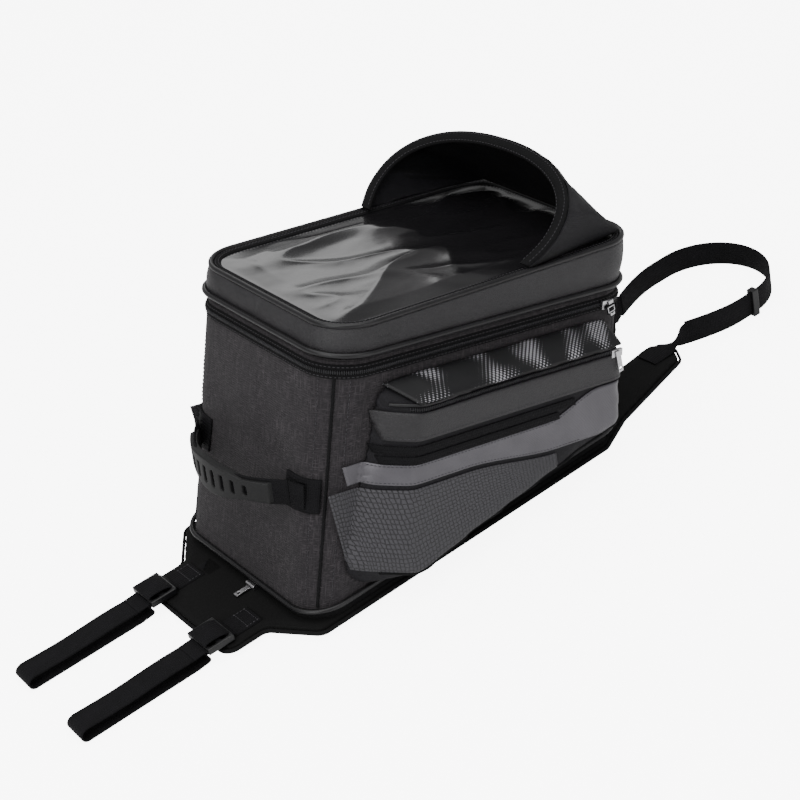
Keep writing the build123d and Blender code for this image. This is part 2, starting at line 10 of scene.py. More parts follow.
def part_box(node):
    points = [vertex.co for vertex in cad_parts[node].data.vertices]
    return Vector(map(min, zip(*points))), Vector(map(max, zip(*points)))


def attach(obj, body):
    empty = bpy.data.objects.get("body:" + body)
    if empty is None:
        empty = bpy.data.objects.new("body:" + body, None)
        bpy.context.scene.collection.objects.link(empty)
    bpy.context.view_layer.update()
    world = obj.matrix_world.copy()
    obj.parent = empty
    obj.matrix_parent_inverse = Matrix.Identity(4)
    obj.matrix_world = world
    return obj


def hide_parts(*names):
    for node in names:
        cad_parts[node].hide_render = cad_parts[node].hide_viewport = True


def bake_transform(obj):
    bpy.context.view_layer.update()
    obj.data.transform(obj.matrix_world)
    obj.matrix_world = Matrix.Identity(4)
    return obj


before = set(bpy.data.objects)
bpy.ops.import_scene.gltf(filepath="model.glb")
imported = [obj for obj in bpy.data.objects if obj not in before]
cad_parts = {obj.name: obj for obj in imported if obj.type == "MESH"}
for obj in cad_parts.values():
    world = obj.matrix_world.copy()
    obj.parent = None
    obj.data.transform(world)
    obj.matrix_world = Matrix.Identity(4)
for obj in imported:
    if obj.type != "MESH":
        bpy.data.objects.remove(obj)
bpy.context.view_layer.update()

# ------------------------------------------------------------------ sizes, in millimetres
MM = 0.001
BODY_REAR_X, BODY_FRONT_X, FLOOR_Z = -222.0, 190.0, 17.5
BODY_WIDTH, BODY_RADIUS = 246.0, 38.0
PARTING_X, PARTING_Z, PARTING_TILT = -133.0, 264.0, radians(14.9)
PARTING_LENGTH, LID_RADIUS = 374.0, 45.0
LID_X, LID_Z, LID_TILT = -122.0, 291.4, radians(11.8)
LID_LENGTH, LID_WIDTH, LID_GAP = 375.0, 250.0, 3.0
RIM_WIDTH = 11.0
HOOD_S, HOOD_LEAN, HOOD_LIFT = 218.0, radians(45.0), 6.2
HOOD_SKEW, HOOD_BULGE = 11.0, 9.0
HOOD_HALF, HOOD_SIDE, HOOD_HEIGHT, HOOD_FRONT_S = 121.5, 34.0, 117.0, 360.0
HOOD_BINDING = 12.0
POCKET_DEPTH, POCKET_TOP, POCKET_EDGE, POCKET_FLOOR = 34.0, 30.0, 46.0, 25.5
PAD_TOP = 10.5
WEBBING = 30.0
STRAP_Y = 54.0
HANDLE_Z, HANDLE_SPAN, HANDLE_BOW, HANDLE_PIVOT = 134.0, 82.0, 36.0, 9.0
HANDLE_DROOP = radians(12.0)
TAB_HALF, WALL_RISE = 17.5, 262.0
HALF = BODY_WIDTH / 2


def parting_z(x):
    return PARTING_Z - tan(PARTING_TILT) * (x - PARTING_X)


class Place:
    """A flat frame: an origin with its u, v and w directions."""

    def __init__(self, origin, u, v, w):
        self.origin, self.u, self.v, self.w = Vector(origin), Vector(u), Vector(v), Vector(w)

    def at(self, u, v, w=0.0):
        return self.origin + self.u * u + self.v * v + self.w * w


def tilted(origin, tilt):
    return Place(origin, (cos(tilt), 0, -sin(tilt)), (0, 1, 0), (sin(tilt), 0, cos(tilt)))


parting_mid = PARTING_X + PARTING_LENGTH * cos(PARTING_TILT) / 2
PARTING = tilted((parting_mid, 0, parting_z(parting_mid)), PARTING_TILT)
LID = tilted((LID_X, 0, LID_Z), LID_TILT)
LID_MID = tilted(LID.at(LID_LENGTH / 2, 0), LID_TILT)
FLOOR = tilted(((BODY_REAR_X + BODY_FRONT_X) / 2, 0, FLOOR_Z), 0)

# ------------------------------------------------------------------ materials


def hex_rgb(code):
    """Linear colour of an sRGB hex value."""
    channels = [int(code[i:i + 2], 16) / 255 for i in (1, 3, 5)]
    linear = [c / 12.92 if c <= 0.04045 else ((c + 0.055) / 1.055) ** 2.4 for c in channels]
    return (*linear, 1.0)


def add(tree, kind, inputs=None, **settings):
    """Add a node; inputs are values, or sockets to link."""
    made = tree.nodes.new(kind)
    for key, value in settings.items():
        setattr(made, key, value)
    for key, value in (inputs or {}).items():
        if isinstance(value, bpy.types.NodeSocket):
            tree.links.new(value, made.inputs[key])
        else:
            made.inputs[key].default_value = value
    return made


def start_material(name, finish):
    """A material with its shader; finish holds the shader's own fixed values."""
    material = bpy.data.materials.new(name)
    material.use_nodes = True
    tree = material.node_tree
    tree.nodes.clear()
    shader = add(tree, "ShaderNodeBsdfPrincipled", finish)
    add(tree, "ShaderNodeOutputMaterial", {"Surface": shader.outputs[0]})
    return material, tree, shader


def surface_space(tree, on_uv):
    """Coordinates in metres, along the cloth where the piece has a UV map of its own."""
    if on_uv:
        return add(tree, "ShaderNodeUVMap", uv_map="Cloth").outputs["UV"]
    return add(tree, "ShaderNodeTexCoord").outputs["Object"]


def tint(tree, shader, factor, low, high):
    """Base colour that runs from low to high with a factor."""
    mix = add(tree, "ShaderNodeMix", {"Factor": factor}, data_type="RGBA")
    mix.inputs[6].default_value = hex_rgb(low)
    mix.inputs[7].default_value = hex_rgb(high)
    tree.links.new(mix.outputs[2], shader.inputs["Base Color"])


def emboss(tree, shader, height, strength, distance):
    bump = add(tree, "ShaderNodeBump", {"Height": height, "Strength": strength,
                                        "Distance": distance})
    tree.links.new(bump.outputs[0], shader.inputs["Normal"])


def cloudy(tree, space, scale, detail):
    return add(tree, "ShaderNodeTexNoise", {"Vector": space, "Scale": scale, "Detail": detail})


# a wave texture of scale 1 repeats every 0.314 of a unit
WAVE_PERIOD = 0.314


def bands(tree, space, pitch, direction, distortion=0.0):
    """Straight bands a given pitch apart, in millimetres."""
    return add(tree, "ShaderNodeTexWave", {
        "Vector": space, "Scale": WAVE_PERIOD / (pitch * MM), "Distortion": distortion},
        bands_direction=direction)


def woven(name, dark, light, thread, on_uv=True, rough=0.85, depth=0.35, streak=1.0, sheen=0.15):
    """Woven polyester: crossed threads, and longer pale flecks where yarns differ in dye."""
    material, tree, shader = start_material(name, {"Sheen Weight": sheen, "Specular IOR Level": 0.18})
    space = surface_space(tree, on_uv)
    warp = bands(tree, space, thread, "X", 0.6)
    weft = bands(tree, space, thread, "Y" if on_uv else "Z", 0.6)
    cross = add(tree, "ShaderNodeMath", {0: warp.outputs["Fac"], 1: weft.outputs["Fac"]},
                operation="MULTIPLY")
    flecks = []
    for scale in ((1100, 90, 90), (160, 1300, 1300)):
        turned = add(tree, "ShaderNodeMapping", {"Vector": space, "Scale": scale})
        flecks.append(add(tree, "ShaderNodeTexNoise", {"Vector": turned.outputs[0], "Scale": 1.0,
                                                       "Detail": 2.0}).outputs["Fac"])
    fleck = add(tree, "ShaderNodeMath", {0: flecks[0], 1: flecks[1]}, operation="MAXIMUM")
    spread = add(tree, "ShaderNodeMapRange", {"Value": fleck.outputs[0], "From Min": 0.5,
                                              "From Max": 0.75, "To Max": streak})
    shade = cloudy(tree, space, 22.0, 3.0)
    tone = add(tree, "ShaderNodeMath", {0: spread.outputs[0], 1: shade.outputs["Fac"]},
               operation="MULTIPLY")
    tint(tree, shader, tone.outputs[0], dark, light)
    emboss(tree, shader, cross.outputs[0], depth, 0.0006)
    shader.inputs["Roughness"].default_value = rough
    return material


def webbing_material():
    """Flat polyester webbing: ribs across its width and a fine herringbone along it."""
    material, tree, shader = start_material("polyester_webbing", {
        "Roughness": 0.8, "Specular IOR Level": 0.14})
    space = surface_space(tree, True)
    ribs = bands(tree, space, 2.0, "X", 0.4)
    cords = bands(tree, space, 3.2, "Y")
    height = add(tree, "ShaderNodeMath", {0: ribs.outputs["Fac"], 1: cords.outputs["Fac"]})
    shade = cloudy(tree, space, 90.0, 3.0)
    tint(tree, shader, shade.outputs["Fac"], "#060607", "#111013")
    emboss(tree, shader, height.outputs[0], 0.6, 0.0006)
    return material


def grained_vinyl():
    """Embossed PVC-coated cloth: pebble grain with soft shine, and a painted highlight: its colour is
    lighter on the high spots of the folds.
    """
    material, tree, shader = start_material("grained_vinyl", {"Specular IOR Level": 0.4})
    space = surface_space(tree, True)
    pebbles = add(tree, "ShaderNodeTexVoronoi", {"Vector": space, "Scale": 1 / (1.7 * MM)},
                  feature="DISTANCE_TO_EDGE")
    rise = add(tree, "ShaderNodeMapRange", {"Value": pebbles.outputs["Distance"],
                                            "From Max": 0.25})
    folds = cloudy(tree, space, 45.0, 4.0)
    height = add(tree, "ShaderNodeMath", {0: rise.outputs[0], 1: folds.outputs["Fac"]})
    # painted highlight: the colour follows the height of the folds, lighter on their high spots
    tint(tree, shader, folds.outputs["Fac"], "#0e0d0f", "#201e21")
    rough = add(tree, "ShaderNodeMapRange", {"Value": folds.outputs["Fac"], "To Min": 0.36,
                                             "To Max": 0.6})
    tree.links.new(rough.outputs[0], shader.inputs["Roughness"])
    emboss(tree, shader, height.outputs[0], 0.45, 0.0005)
    return material


def moulded(name, low, high, rough, grain=0.9, depth=0.15):
    """Moulded rubber or plastic with a fine spark-eroded texture."""
    material, tree, shader = start_material(name, {"Specular IOR Level": 0.32})
    space = surface_space(tree, False)
    fine = cloudy(tree, space, 1 / (grain * MM), 3.0)
    broad = cloudy(tree, space, 30.0, 2.0)
    tint(tree, shader, broad.outputs["Fac"], low, high)
    spread = add(tree, "ShaderNodeMapRange", {"Value": broad.outputs["Fac"],
                                              "To Min": rough - 0.08, "To Max": rough + 0.08})
    tree.links.new(spread.outputs[0], shader.inputs["Roughness"])
    emboss(tree, shader, fine.outputs["Fac"], depth, 0.0004)
    return material


def clear_vinyl():
    """Soft clear PVC over a black board: wet-looking gloss, with a faint haze in it."""
    material, tree, shader = start_material("clear_vinyl", {
        "Roughness": 0.2, "Specular IOR Level": 0.3, "Coat Weight": 0.1, "Coat Roughness": 0.05})
    space = surface_space(tree, False)
    haze = cloudy(tree, space, 14.0, 4.0)
    tint(tree, shader, haze.outputs["Fac"], "#0b0b0c", "#1a191b")
    ripple = cloudy(tree, space, 26.0, 2.0)
    emboss(tree, shader, ripple.outputs["Fac"], 0.18, 0.003)
    return material


def nickel():
    """Nickel-plated zinc casting: bright, with light handling scratches."""
    material, tree, shader = start_material("nickel_plate", {"Metallic": 1.0})
    space = surface_space(tree, False)
    rub = cloudy(tree, space, 420.0, 4.0)
    tint(tree, shader, rub.outputs["Fac"], "#9a999c", "#d8d7d9")
    rough = add(tree, "ShaderNodeMapRange", {"Value": rub.outputs["Fac"], "To Min": 0.16,
                                             "To Max": 0.42})
    tree.links.new(rough.outputs[0], shader.inputs["Roughness"])
    return material


def dotted_print():
    """Black cloth with a generic screen-printed dot pattern that fades along the pocket."""
    material, tree, shader = start_material("dotted_cloth", {
        "Roughness": 0.5, "Specular IOR Level": 0.3})
    space = surface_space(tree, True)
    turned = add(tree, "ShaderNodeMapping", {"Vector": space, "Rotation": (0, 0, radians(45))})
    dots = add(tree, "ShaderNodeTexVoronoi", {"Vector": turned.outputs[0], "Scale": 1 / (3.3 * MM),
                                              "Randomness": 0.0}, voronoi_dimensions="2D")
    patches = add(tree, "ShaderNodeMapping", {"Vector": space, "Scale": (34, 22, 1)})
    groups = add(tree, "ShaderNodeTexNoise", {"Vector": patches.outputs[0], "Scale": 1.0,
                                              "Detail": 0.0})
    size = add(tree, "ShaderNodeMapRange", {"Value": groups.outputs["Fac"], "From Min": 0.44,
                                            "From Max": 0.66, "To Min": 0.0, "To Max": 0.36})
    inside = add(tree, "ShaderNodeMath", {0: dots.outputs["Distance"], 1: size.outputs[0]},
                 operation="LESS_THAN")
    tint(tree, shader, inside.outputs[0], "#0c0c0e", "#8f8e93")
    return material


def reflective():
    """Glass-bead tape: pale satin grey with a faint cross-hatch, dulled by handling."""
    material, tree, shader = start_material("bead_tape", {"Metallic": 0.3, "Roughness": 0.4})
    space = surface_space(tree, True)
    hatch = bands(tree, space, 1.4, "DIAGONAL")
    shade = cloudy(tree, space, 30.0, 4.0)
    tint(tree, shader, shade.outputs["Fac"], "#3d3b3f", "#57555a")
    emboss(tree, shader, hatch.outputs["Fac"], 0.3, 0.0003)
    return material


def honeycomb():
    """Heat-pressed foam: small raised cells with sunk walls between them, the walls painted darker as
    painted shade.
    """
    material, tree, shader = start_material("pressed_foam", {"Roughness": 0.68})
    space = surface_space(tree, True)
    cells = add(tree, "ShaderNodeTexVoronoi", {"Vector": space, "Scale": 1 / (4.2 * MM),
                                               "Randomness": 0.35}, feature="DISTANCE_TO_EDGE",
                voronoi_dimensions="2D")
    wall = add(tree, "ShaderNodeMapRange", {"Value": cells.outputs["Distance"], "From Max": 0.16})
    # painted shade: the colour is darker in the sunk walls between the cells
    tint(tree, shader, wall.outputs[0], "#141316", "#333236")
    emboss(tree, shader, wall.outputs[0], 0.8, 0.0012)
    return material


HEATHER = woven("heathered_cloth", "#211f21", "#504b4e", 1.3, streak=0.9, depth=0.6, sheen=0.04)
RIPSTOP = woven("ripstop_cloth", "#0f0e11", "#27252b", 0.9, streak=0.7, depth=0.4, rough=0.62, sheen=0.0)
LINING = woven("hood_lining", "#09090a", "#1a191b", 0.9, streak=0.5, depth=0.25, rough=0.6, sheen=0.0)
PAD_CLOTH = woven("pad_cloth", "#050505", "#0e0e0f", 1.1, on_uv=False, streak=0.6, depth=0.5, sheen=0.0)
TAPE = woven("binding_tape", "#070708", "#141316", 1.0, on_uv=False, streak=0.4, depth=0.5, sheen=0.0)
LABEL = woven("blank_label_cloth", "#0b0b0d", "#1b1a1e", 0.7, on_uv=False, streak=0.3, sheen=0.0)
BELT = webbing_material()
VINYL = grained_vinyl()
PIPING = moulded("vinyl_piping", "#0b0b0c", "#1a191b", 0.4)
GRIP = moulded("grip_rubber", "#040405", "#0b0b0c", 0.62, depth=0.25)
LINER = moulded("liner_rubber", "#1b1a1c", "#2a292b", 0.8, grain=1.6, depth=0.5)
PLASTIC = moulded("acetal_plastic", "#0a0a0b", "#161618", 0.34)
BOARD = moulded("board_plastic", "#1a1a1c", "#262629", 0.6)
COIL = moulded("nylon_coil", "#0f0f11", "#242427", 0.35)
THREAD = moulded("bonded_thread", "#232225", "#3a383c", 0.6)
PALE = moulded("pale_thread", "#c9c8cb", "#e4e3e6", 0.6)
WINDOW = clear_vinyl()
METAL = nickel()
PRINT = dotted_print()
BEADS = reflective()
FOAM = honeycomb()

# ------------------------------------------------------------------ mesh helpers


def finished(name, points, faces, material, uvs=None, smooth=True):
    """Mesh object from points in millimetres; uvs hold one pair for each point, in metres."""
    mesh = bpy.data.meshes.new(name)
    mesh.from_pydata([tuple(p * MM) for p in points], [], faces)
    if uvs:
        layer = mesh.uv_layers.new(name="Cloth")
        for loop in mesh.loops:
            layer.data[loop.index].uv = uvs[loop.vertex_index]
    mesh.materials.append(material)
    mesh.polygons.foreach_set("use_smooth", [smooth] * len(mesh.polygons))
    piece = bpy.data.objects.new(name, mesh)
    bpy.context.scene.collection.objects.link(piece)
    return piece


def sheet_grid(rows, closed=False):
    """Faces and UVs of a grid of points; the UVs follow real lengths along the middle lines."""
    count = len(rows[0])
    middle = rows[len(rows) // 2]
    along = [0.0]
    for a, b in zip(middle, middle[1:]):
        along.append(along[-1] + (b - a).length * MM)
    up = [0.0]
    for a, b in zip(rows, rows[1:]):
        up.append(up[-1] + (b[count // 2] - a[count // 2]).length * MM)
    points = [p for row in rows for p in row]
    uvs = [(along[i], up[j]) for j in range(len(rows)) for i in range(count)]
    faces = []
    for j in range(len(rows) - 1):
        for i in range(count if closed else count - 1):
            k = (i + 1) % count
            faces.append((j * count + i, j * count + k, (j + 1) * count + k, (j + 1) * count + i))
    return points, faces, uvs


def apply_modifiers(piece):
    bpy.context.view_layer.update()
    mesh = bpy.data.meshes.new_from_object(piece.evaluated_get(bpy.context.evaluated_depsgraph_get()))
    piece.modifiers.clear()
    old = piece.data
    piece.data = mesh
    bpy.data.meshes.remove(old)
    return piece


def cloth_piece(name, rows, material, thick, closed=False, offset=-1.0, flip=False):
    """Sheet of cloth from a grid, given its thickness; offset 1 builds outwards, -1 inwards."""
    points, faces, uvs = sheet_grid(rows, closed)
    if flip:
        faces = [tuple(reversed(f)) for f in faces]
    piece = finished(name, points, faces, material, uvs)
    solid = piece.modifiers.new("thickness", "SOLIDIFY")
    solid.thickness = thick * MM
    solid.offset = offset
    solid.use_even_offset = False
    return apply_modifiers(piece)


def tube(name, path, radius, material, closed=True, sides=10):
    """Round cord along a path of points."""
    curve = bpy.data.curves.new(name, "CURVE")
    curve.dimensions = "3D"
    spline = curve.splines.new("POLY")
    spline.points.add(len(path) - 1)
    for spot, p in zip(spline.points, path):
        spot.co = (*(p * MM), 1.0)
    spline.use_cyclic_u = closed
    curve.bevel_depth = radius * MM
    curve.bevel_resolution = max(1, sides // 4)
    curve.use_fill_caps = not closed
    holder = bpy.data.objects.new(name + "_path", curve)
    bpy.context.scene.collection.objects.link(holder)
    bpy.context.view_layer.update()
    mesh = bpy.data.meshes.new_from_object(holder)
    bpy.data.objects.remove(holder)
    mesh.materials.clear()
    mesh.materials.append(material)
    mesh.polygons.foreach_set("use_smooth", [True] * len(mesh.polygons))
    piece = bpy.data.objects.new(name, mesh)
    bpy.context.scene.collection.objects.link(piece)
    return piece


def ribbon(name, path, across, width, thick, material):
    """Flat webbing with rounded edges along a path; across gives its width direction."""
    rows = []
    half, t = width / 2, thick / 2
    section = [(-half + t, -t), (0, -t), (half - t, -t), (half, 0), (half - t, t), (0, t),
               (-half + t, t), (-half, 0)]
    girth = [0, half, width, width + t, width + 2 * t, 2 * width - half, 2 * width, 2 * width + t]
    length, uvs, previous = 0.0, [], None
    for i, p in enumerate(path):
        ahead = path[min(i + 1, len(path) - 1)] - path[max(i - 1, 0)]
        side = Vector(across(i) if callable(across) else across).normalized()
        out = ahead.cross(side).normalized()
        side = out.cross(ahead).normalized()
        rows.append([p + side * a + out * b for a, b in section])
        length += (p - previous).length * MM if previous is not None else 0.0
        previous = p
        uvs += [(length, g * MM) for g in girth]
    points, faces, _ = sheet_grid(rows, True)
    count = len(section)
    faces.append(tuple(range(count)))
    faces.append(tuple(reversed(range(len(points) - count, len(points)))))
    piece = finished(name, points, faces, material, uvs)
    for polygon in piece.data.polygons[-2:]:
        polygon.use_smooth = False
    return outward(piece)


def outward(piece):
    """Turn all faces outwards."""
    work = bmesh.new()
    work.from_mesh(piece.data)
    bmesh.ops.recalc_face_normals(work, faces=work.faces)
    work.to_mesh(piece.data)
    work.free()
    return piece


def shade(piece, material):
    piece.data.materials.clear()
    piece.data.materials.append(material)
    piece.data.polygons.foreach_set("use_smooth", [True] * len(piece.data.polygons))


def welded_copy(node, name):
    """Copy of a CAD piece with its faces joined along their edges."""
    work = bmesh.new()
    work.from_mesh(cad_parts[node].data)
    bmesh.ops.remove_doubles(work, verts=work.verts, dist=1e-6)
    mesh = bpy.data.meshes.new(name)
    work.to_mesh(mesh)
    work.free()
    piece = bpy.data.objects.new(name, mesh)
    bpy.context.scene.collection.objects.link(piece)
    return piece


def softened(node, material, voxel, body, passes=4):
    """Copy of a CAD piece with its edges rounded as a moulding's or a casting's are."""
    piece = welded_copy(node, node + "_finished")
    grid = piece.modifiers.new("grid", "REMESH")
    grid.mode = "VOXEL"
    grid.voxel_size = voxel * MM
    ease = piece.modifiers.new("ease", "SMOOTH")
    ease.factor = 0.5
    ease.iterations = passes
    apply_modifiers(piece)
    shade(piece, material)
    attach(piece, body)
    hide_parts(node)
    return piece


def tell(piece, body, slot, *replaced):
    """Say what a piece rides on and hide the CAD nodes it stands for; the slot is not used."""
    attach(piece, body)
    if replaced:
        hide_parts(*replaced)
    return piece


def wave(p, scale, seed):
    """Smooth noise from -1 to 1 at a point in millimetres."""
    return noise.noise(Vector(p) * scale + Vector((seed, seed * 1.7, seed * 0.3)))


# ------------------------------------------------------------------ repeated small things


def bead_tree():
    """Places copies of a small thing along an edge path, turned to the path and its outside."""
    tree = bpy.data.node_groups.new("along_a_seam", "GeometryNodeTree")
    face = tree.interface
    face.new_socket("Geometry", in_out="INPUT", socket_type="NodeSocketGeometry")
    face.new_socket("Spacing", in_out="INPUT", socket_type="NodeSocketFloat")
    face.new_socket("Unit", in_out="INPUT", socket_type="NodeSocketObject")
    face.new_socket("Finish", in_out="INPUT", socket_type="NodeSocketMaterial")
    face.new_socket("Geometry", in_out="OUTPUT", socket_type="NodeSocketGeometry")
    given = add(tree, "NodeGroupInput")
    line = add(tree, "GeometryNodeMeshToCurve", {"Mesh": given.outputs["Geometry"]})
    spaced = add(tree, "GeometryNodeResampleCurve", {"Curve": line.outputs[0],
                                                     "Length": given.outputs["Spacing"]},
                 mode="LENGTH")
    outside = add(tree, "GeometryNodeInputNamedAttribute", {"Name": "outside"},
                  data_type="FLOAT_VECTOR")
    raised = add(tree, "FunctionNodeAlignRotationToVector", {"Vector": outside.outputs[0]},
                 axis="Z")
    tangent = add(tree, "GeometryNodeInputTangent")
    turned = add(tree, "FunctionNodeAlignRotationToVector", {
        "Rotation": raised.outputs[0], "Vector": tangent.outputs[0]}, axis="X", pivot_axis="Z")
    unit = add(tree, "GeometryNodeObjectInfo", {"Object": given.outputs["Unit"]})
    placed = add(tree, "GeometryNodeInstanceOnPoints", {
        "Points": spaced.outputs[0], "Instance": unit.outputs["Geometry"],
        "Rotation": turned.outputs[0]})
    real = add(tree, "GeometryNodeRealizeInstances", {"Geometry": placed.outputs[0]})
    painted = add(tree, "GeometryNodeSetMaterial", {"Geometry": real.outputs[0],
                                                    "Material": given.outputs["Finish"]})
    add(tree, "NodeGroupOutput", {"Geometry": painted.outputs[0]})
    return tree


BEADS_ALONG = bead_tree()


def small_unit(name, length, width, height):
    """A low rounded bar of a few dozen faces, lying along x."""
    rows = []
    for x, k in ((-0.5, 0.35), (-0.36, 0.85), (0.0, 1.0), (0.36, 0.85), (0.5, 0.35)):
        rows.append([Vector((x * length, cos(a) * width / 2 * k, sin(a) * height / 2 * k))
                     for a in [2 * pi * i / 6 for i in range(6)]])
    points, faces, _ = sheet_grid(rows, True)
    faces.append(tuple(reversed(range(6))))
    faces.append(tuple(range(len(points) - 6, len(points))))
    unit = outward(finished(name, points, faces, THREAD))
    bpy.context.scene.collection.objects.unlink(unit)
    return unit


STITCH = small_unit("stitch_unit", 2.7, 0.75, 0.7)
TOOTH = small_unit("tooth_unit", 1.3, 4.4, 1.9)


def along(name, lines, unit, spacing, material, body, slot):
    """Copies of a unit along one or more lines of (point, outside) pairs."""
    mesh = bpy.data.meshes.new(name)
    points, edges, outs = [], [], []
    for line in lines:
        first = len(points)
        points += [tuple(p * MM) for p, _ in line]
        outs += [c for _, out in line for c in out]
        edges += [(first + i, first + i + 1) for i in range(len(line) - 1)]
    mesh.from_pydata(points, edges, [])
    mesh.attributes.new("outside", "FLOAT_VECTOR", "POINT").data.foreach_set("vector", outs)
    piece = bpy.data.objects.new(name, mesh)
    bpy.context.scene.collection.objects.link(piece)
    grow = piece.modifiers.new("along", "NODES")
    grow.node_group = BEADS_ALONG
    wanted = {"Spacing": spacing * MM, "Unit": unit, "Finish": material}
    for item in BEADS_ALONG.interface.items_tree:
        if item.in_out == "INPUT" and item.name in wanted:
            grow[item.identifier] = wanted[item.name]
    apply_modifiers(piece)
    return tell(piece, body, slot)


# ------------------------------------------------------------------ rounded rings
STOPS = (0.0, 0.10, 0.15, 0.35, 0.40, 0.60, 0.65, 0.85, 0.90, 1.0)


def ring_spot(u, length, width, radius):
    """Spot on a rounded rectangle and its outward direction; u runs from the rear middle."""
    u %= 1.0
    a, b, r = length / 2, width / 2, radius
    k = max(i for i, stop in enumerate(STOPS[:-1]) if u >= stop - 1e-9)
    f = (u - STOPS[k]) / (STOPS[k + 1] - STOPS[k])
    straight = {0: ((-a, 0), (-a, -b + r), (-1, 0)), 2: ((-a + r, -b), (a - r, -b), (0, -1)),
                4: ((a, -b + r), (a, b - r), (1, 0)), 6: ((a - r, b), (-a + r, b), (0, 1)),
                8: ((-a, b - r), (-a, 0), (-1, 0))}
    if k in straight:
        (x0, y0), (x1, y1), out = straight[k]
        return x0 + (x1 - x0) * f, y0 + (y1 - y0) * f, out
    centre, turn = {1: ((-a + r, -b + r), 180), 3: ((a - r, -b + r), 270),
                    5: ((a - r, b - r), 0), 7: ((-a + r, b - r), 90)}[k]
    angle = radians(turn + 90 * f)
    return centre[0] + r * cos(angle), centre[1] + r * sin(angle), (cos(angle), sin(angle))


def between(low, low_size, high, high_size):
    """Surface from one rounded ring to another: a function of u, height share and lift."""
    def spot(u, t, lift=0.0):
        x0, y0, out0 = ring_spot(u, *low_size)
        x1, y1, out1 = ring_spot(u, *high_size)
        a, b = low.at(x0, y0), high.at(x1, y1)
        out = low.u * out0[0] + low.v * out0[1]
        out = out.lerp(high.u * out1[0] + high.v * out1[1], t)
        slope = (b - a).normalized()
        out = (out - slope * out.dot(slope)).normalized()
        return a.lerp(b, t) + out * lift, out
    return spot


body_spot = between(FLOOR, (BODY_FRONT_X - BODY_REAR_X, BODY_WIDTH, BODY_RADIUS),
                    PARTING, (PARTING_LENGTH, BODY_WIDTH, LID_RADIUS))
band_spot = between(tilted(PARTING.at(0, 0, LID_GAP), PARTING_TILT),
                    (PARTING_LENGTH + 1, LID_WIDTH, LID_RADIUS),
                    LID_MID, (LID_LENGTH, LID_WIDTH, LID_RADIUS))


def steps(a, b, count):
    return [a + (b - a) * i / count for i in range(count + 1)]


# rear corner seams sit where the rear panel meets the sides
SEAM_U = 0.125
FRONT_SEAM_U = 0.375


def body_lift(u, t):
    """Slack of the bag's wall: full panels that draw in at the corner seams."""
    u %= 1.0
    belly = sin(pi * min(max(t, 0), 1))
    rear = max(0.0, 1 - abs(min(u, 1 - u)) / SEAM_U)
    front = max(0.0, 1 - abs(u - 0.5) / SEAM_U)
    seam = min(abs(u - s) for s in (SEAM_U, FRONT_SEAM_U, 1 - FRONT_SEAM_U, 1 - SEAM_U))
    p, _ = body_spot(u, t)
    crease = wave((p.x, p.y, p.z), 0.022, 3.0) * 2.0 + wave((p.x, p.y, p.z), 0.05, 8.0) * 0.8
    draw = -1.6 * max(0.0, 1 - seam / 0.012)
    return belly * (3.2 * sqrt(rear) + 3.2 * sqrt(front) + crease) + draw * belly


def body_point(u, t, lift=0.0):
    return body_spot(u, t, body_lift(u, t) + lift)


def make_body():
    rows = [[body_point(u, t)[0] for u in steps(0, 1, 240)[:-1]] for t in steps(0, 1, 44)]
    foot = rows[0]
    floor_rows = [[p.lerp(Vector((-16, 0, FLOOR_Z)), k) for p in foot] for k in (0.5, 0.01)]
    body = cloth_piece("bag_shell", rows, HEATHER, 3.0, closed=True)
    tell(body, "bag", "woven_fabric", "rear_panel", "front_panel", "left_panel", "right_panel")
    under = cloth_piece("bag_bottom", [[p - Vector((0, 0, 0.5)) for p in row]
                                       for row in (foot, *floor_rows)], HEATHER, 0.8, closed=True,
                        offset=0.0)
    tell(under, "bag", "woven_fabric")
    # welts over the corner seams, with a row of stitches each side
    for label, u in (("rear_right", SEAM_U), ("rear_left", 1 - SEAM_U),
                     ("front_right", FRONT_SEAM_U), ("front_left", 1 - FRONT_SEAM_U)):
        path = [body_point(u, t, 0.6)[0] for t in steps(0.03, 0.94, 40)]
        tell(tube(f"seam_welt_{label}", path, 1.5, TAPE, closed=False), "bag", "binding_tape")
    lines = []
    for u in (SEAM_U, 1 - SEAM_U, FRONT_SEAM_U, 1 - FRONT_SEAM_U):
        for side in (-0.011, 0.011):
            lines.append([body_point(u + side, t, 0.25) for t in steps(0.04, 0.93, 60)])
    along("seam_stitches", lines, STITCH, 4.2, THREAD, "bag", "binding_tape")


make_body()

# ------------------------------------------------------------------ main zip
ZIP_DROP = 12.0


def zip_spot(u, drop=ZIP_DROP, lift=0.0):
    """Spot on the bag's wall a given distance below the parting line."""
    low, _ = body_spot(u, 0.0)
    high, _ = body_spot(u, 1.0)
    t = 1 - drop / (high - low).length
    return body_spot(u, t, max(body_lift(u, t), 0.0) + lift)


def make_main_zip():
    ends = (0.53, 1.47)
    us = steps(*ends, 200)
    tape = [[zip_spot(u, drop, lift)[0] for u in us]
            for drop, lift in ((19.0, 0.5), (17.5, 1.1), (12.0, 1.2), (6.5, 1.1), (5.0, 0.5))]
    piece = cloth_piece("main_zip_tape", tape, TAPE, 0.9)
    tell(piece, "bag", "binding_tape")
    along("main_zip_coil", [[zip_spot(u, ZIP_DROP, 2.0) for u in us]], TOOTH, 2.1, COIL, "bag",
          "zip_teeth")
    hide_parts("main_zip_teeth")
    lines = [[zip_spot(u, drop, 1.5) for u in us] for drop in (7.2, 17.0)]
    along("main_zip_stitches", lines, STITCH, 4.2, THREAD, "bag", "binding_tape")


make_main_zip()

# ------------------------------------------------------------------ lid
band_turns = steps(0, 1, 240)[:-1]


def band_lift(u, t):
    p, _ = band_spot(u, t)
    fold = wave((p.x, p.y, p.z), 0.03, 5.0) * 1.0 + wave((p.x, p.y, p.z), 0.07, 2.0) * 0.5
    return sin(pi * t) * (1.8 + fold)


def band_point(u, t, lift=0.0):
    return band_spot(u, t, band_lift(u, t) + lift)


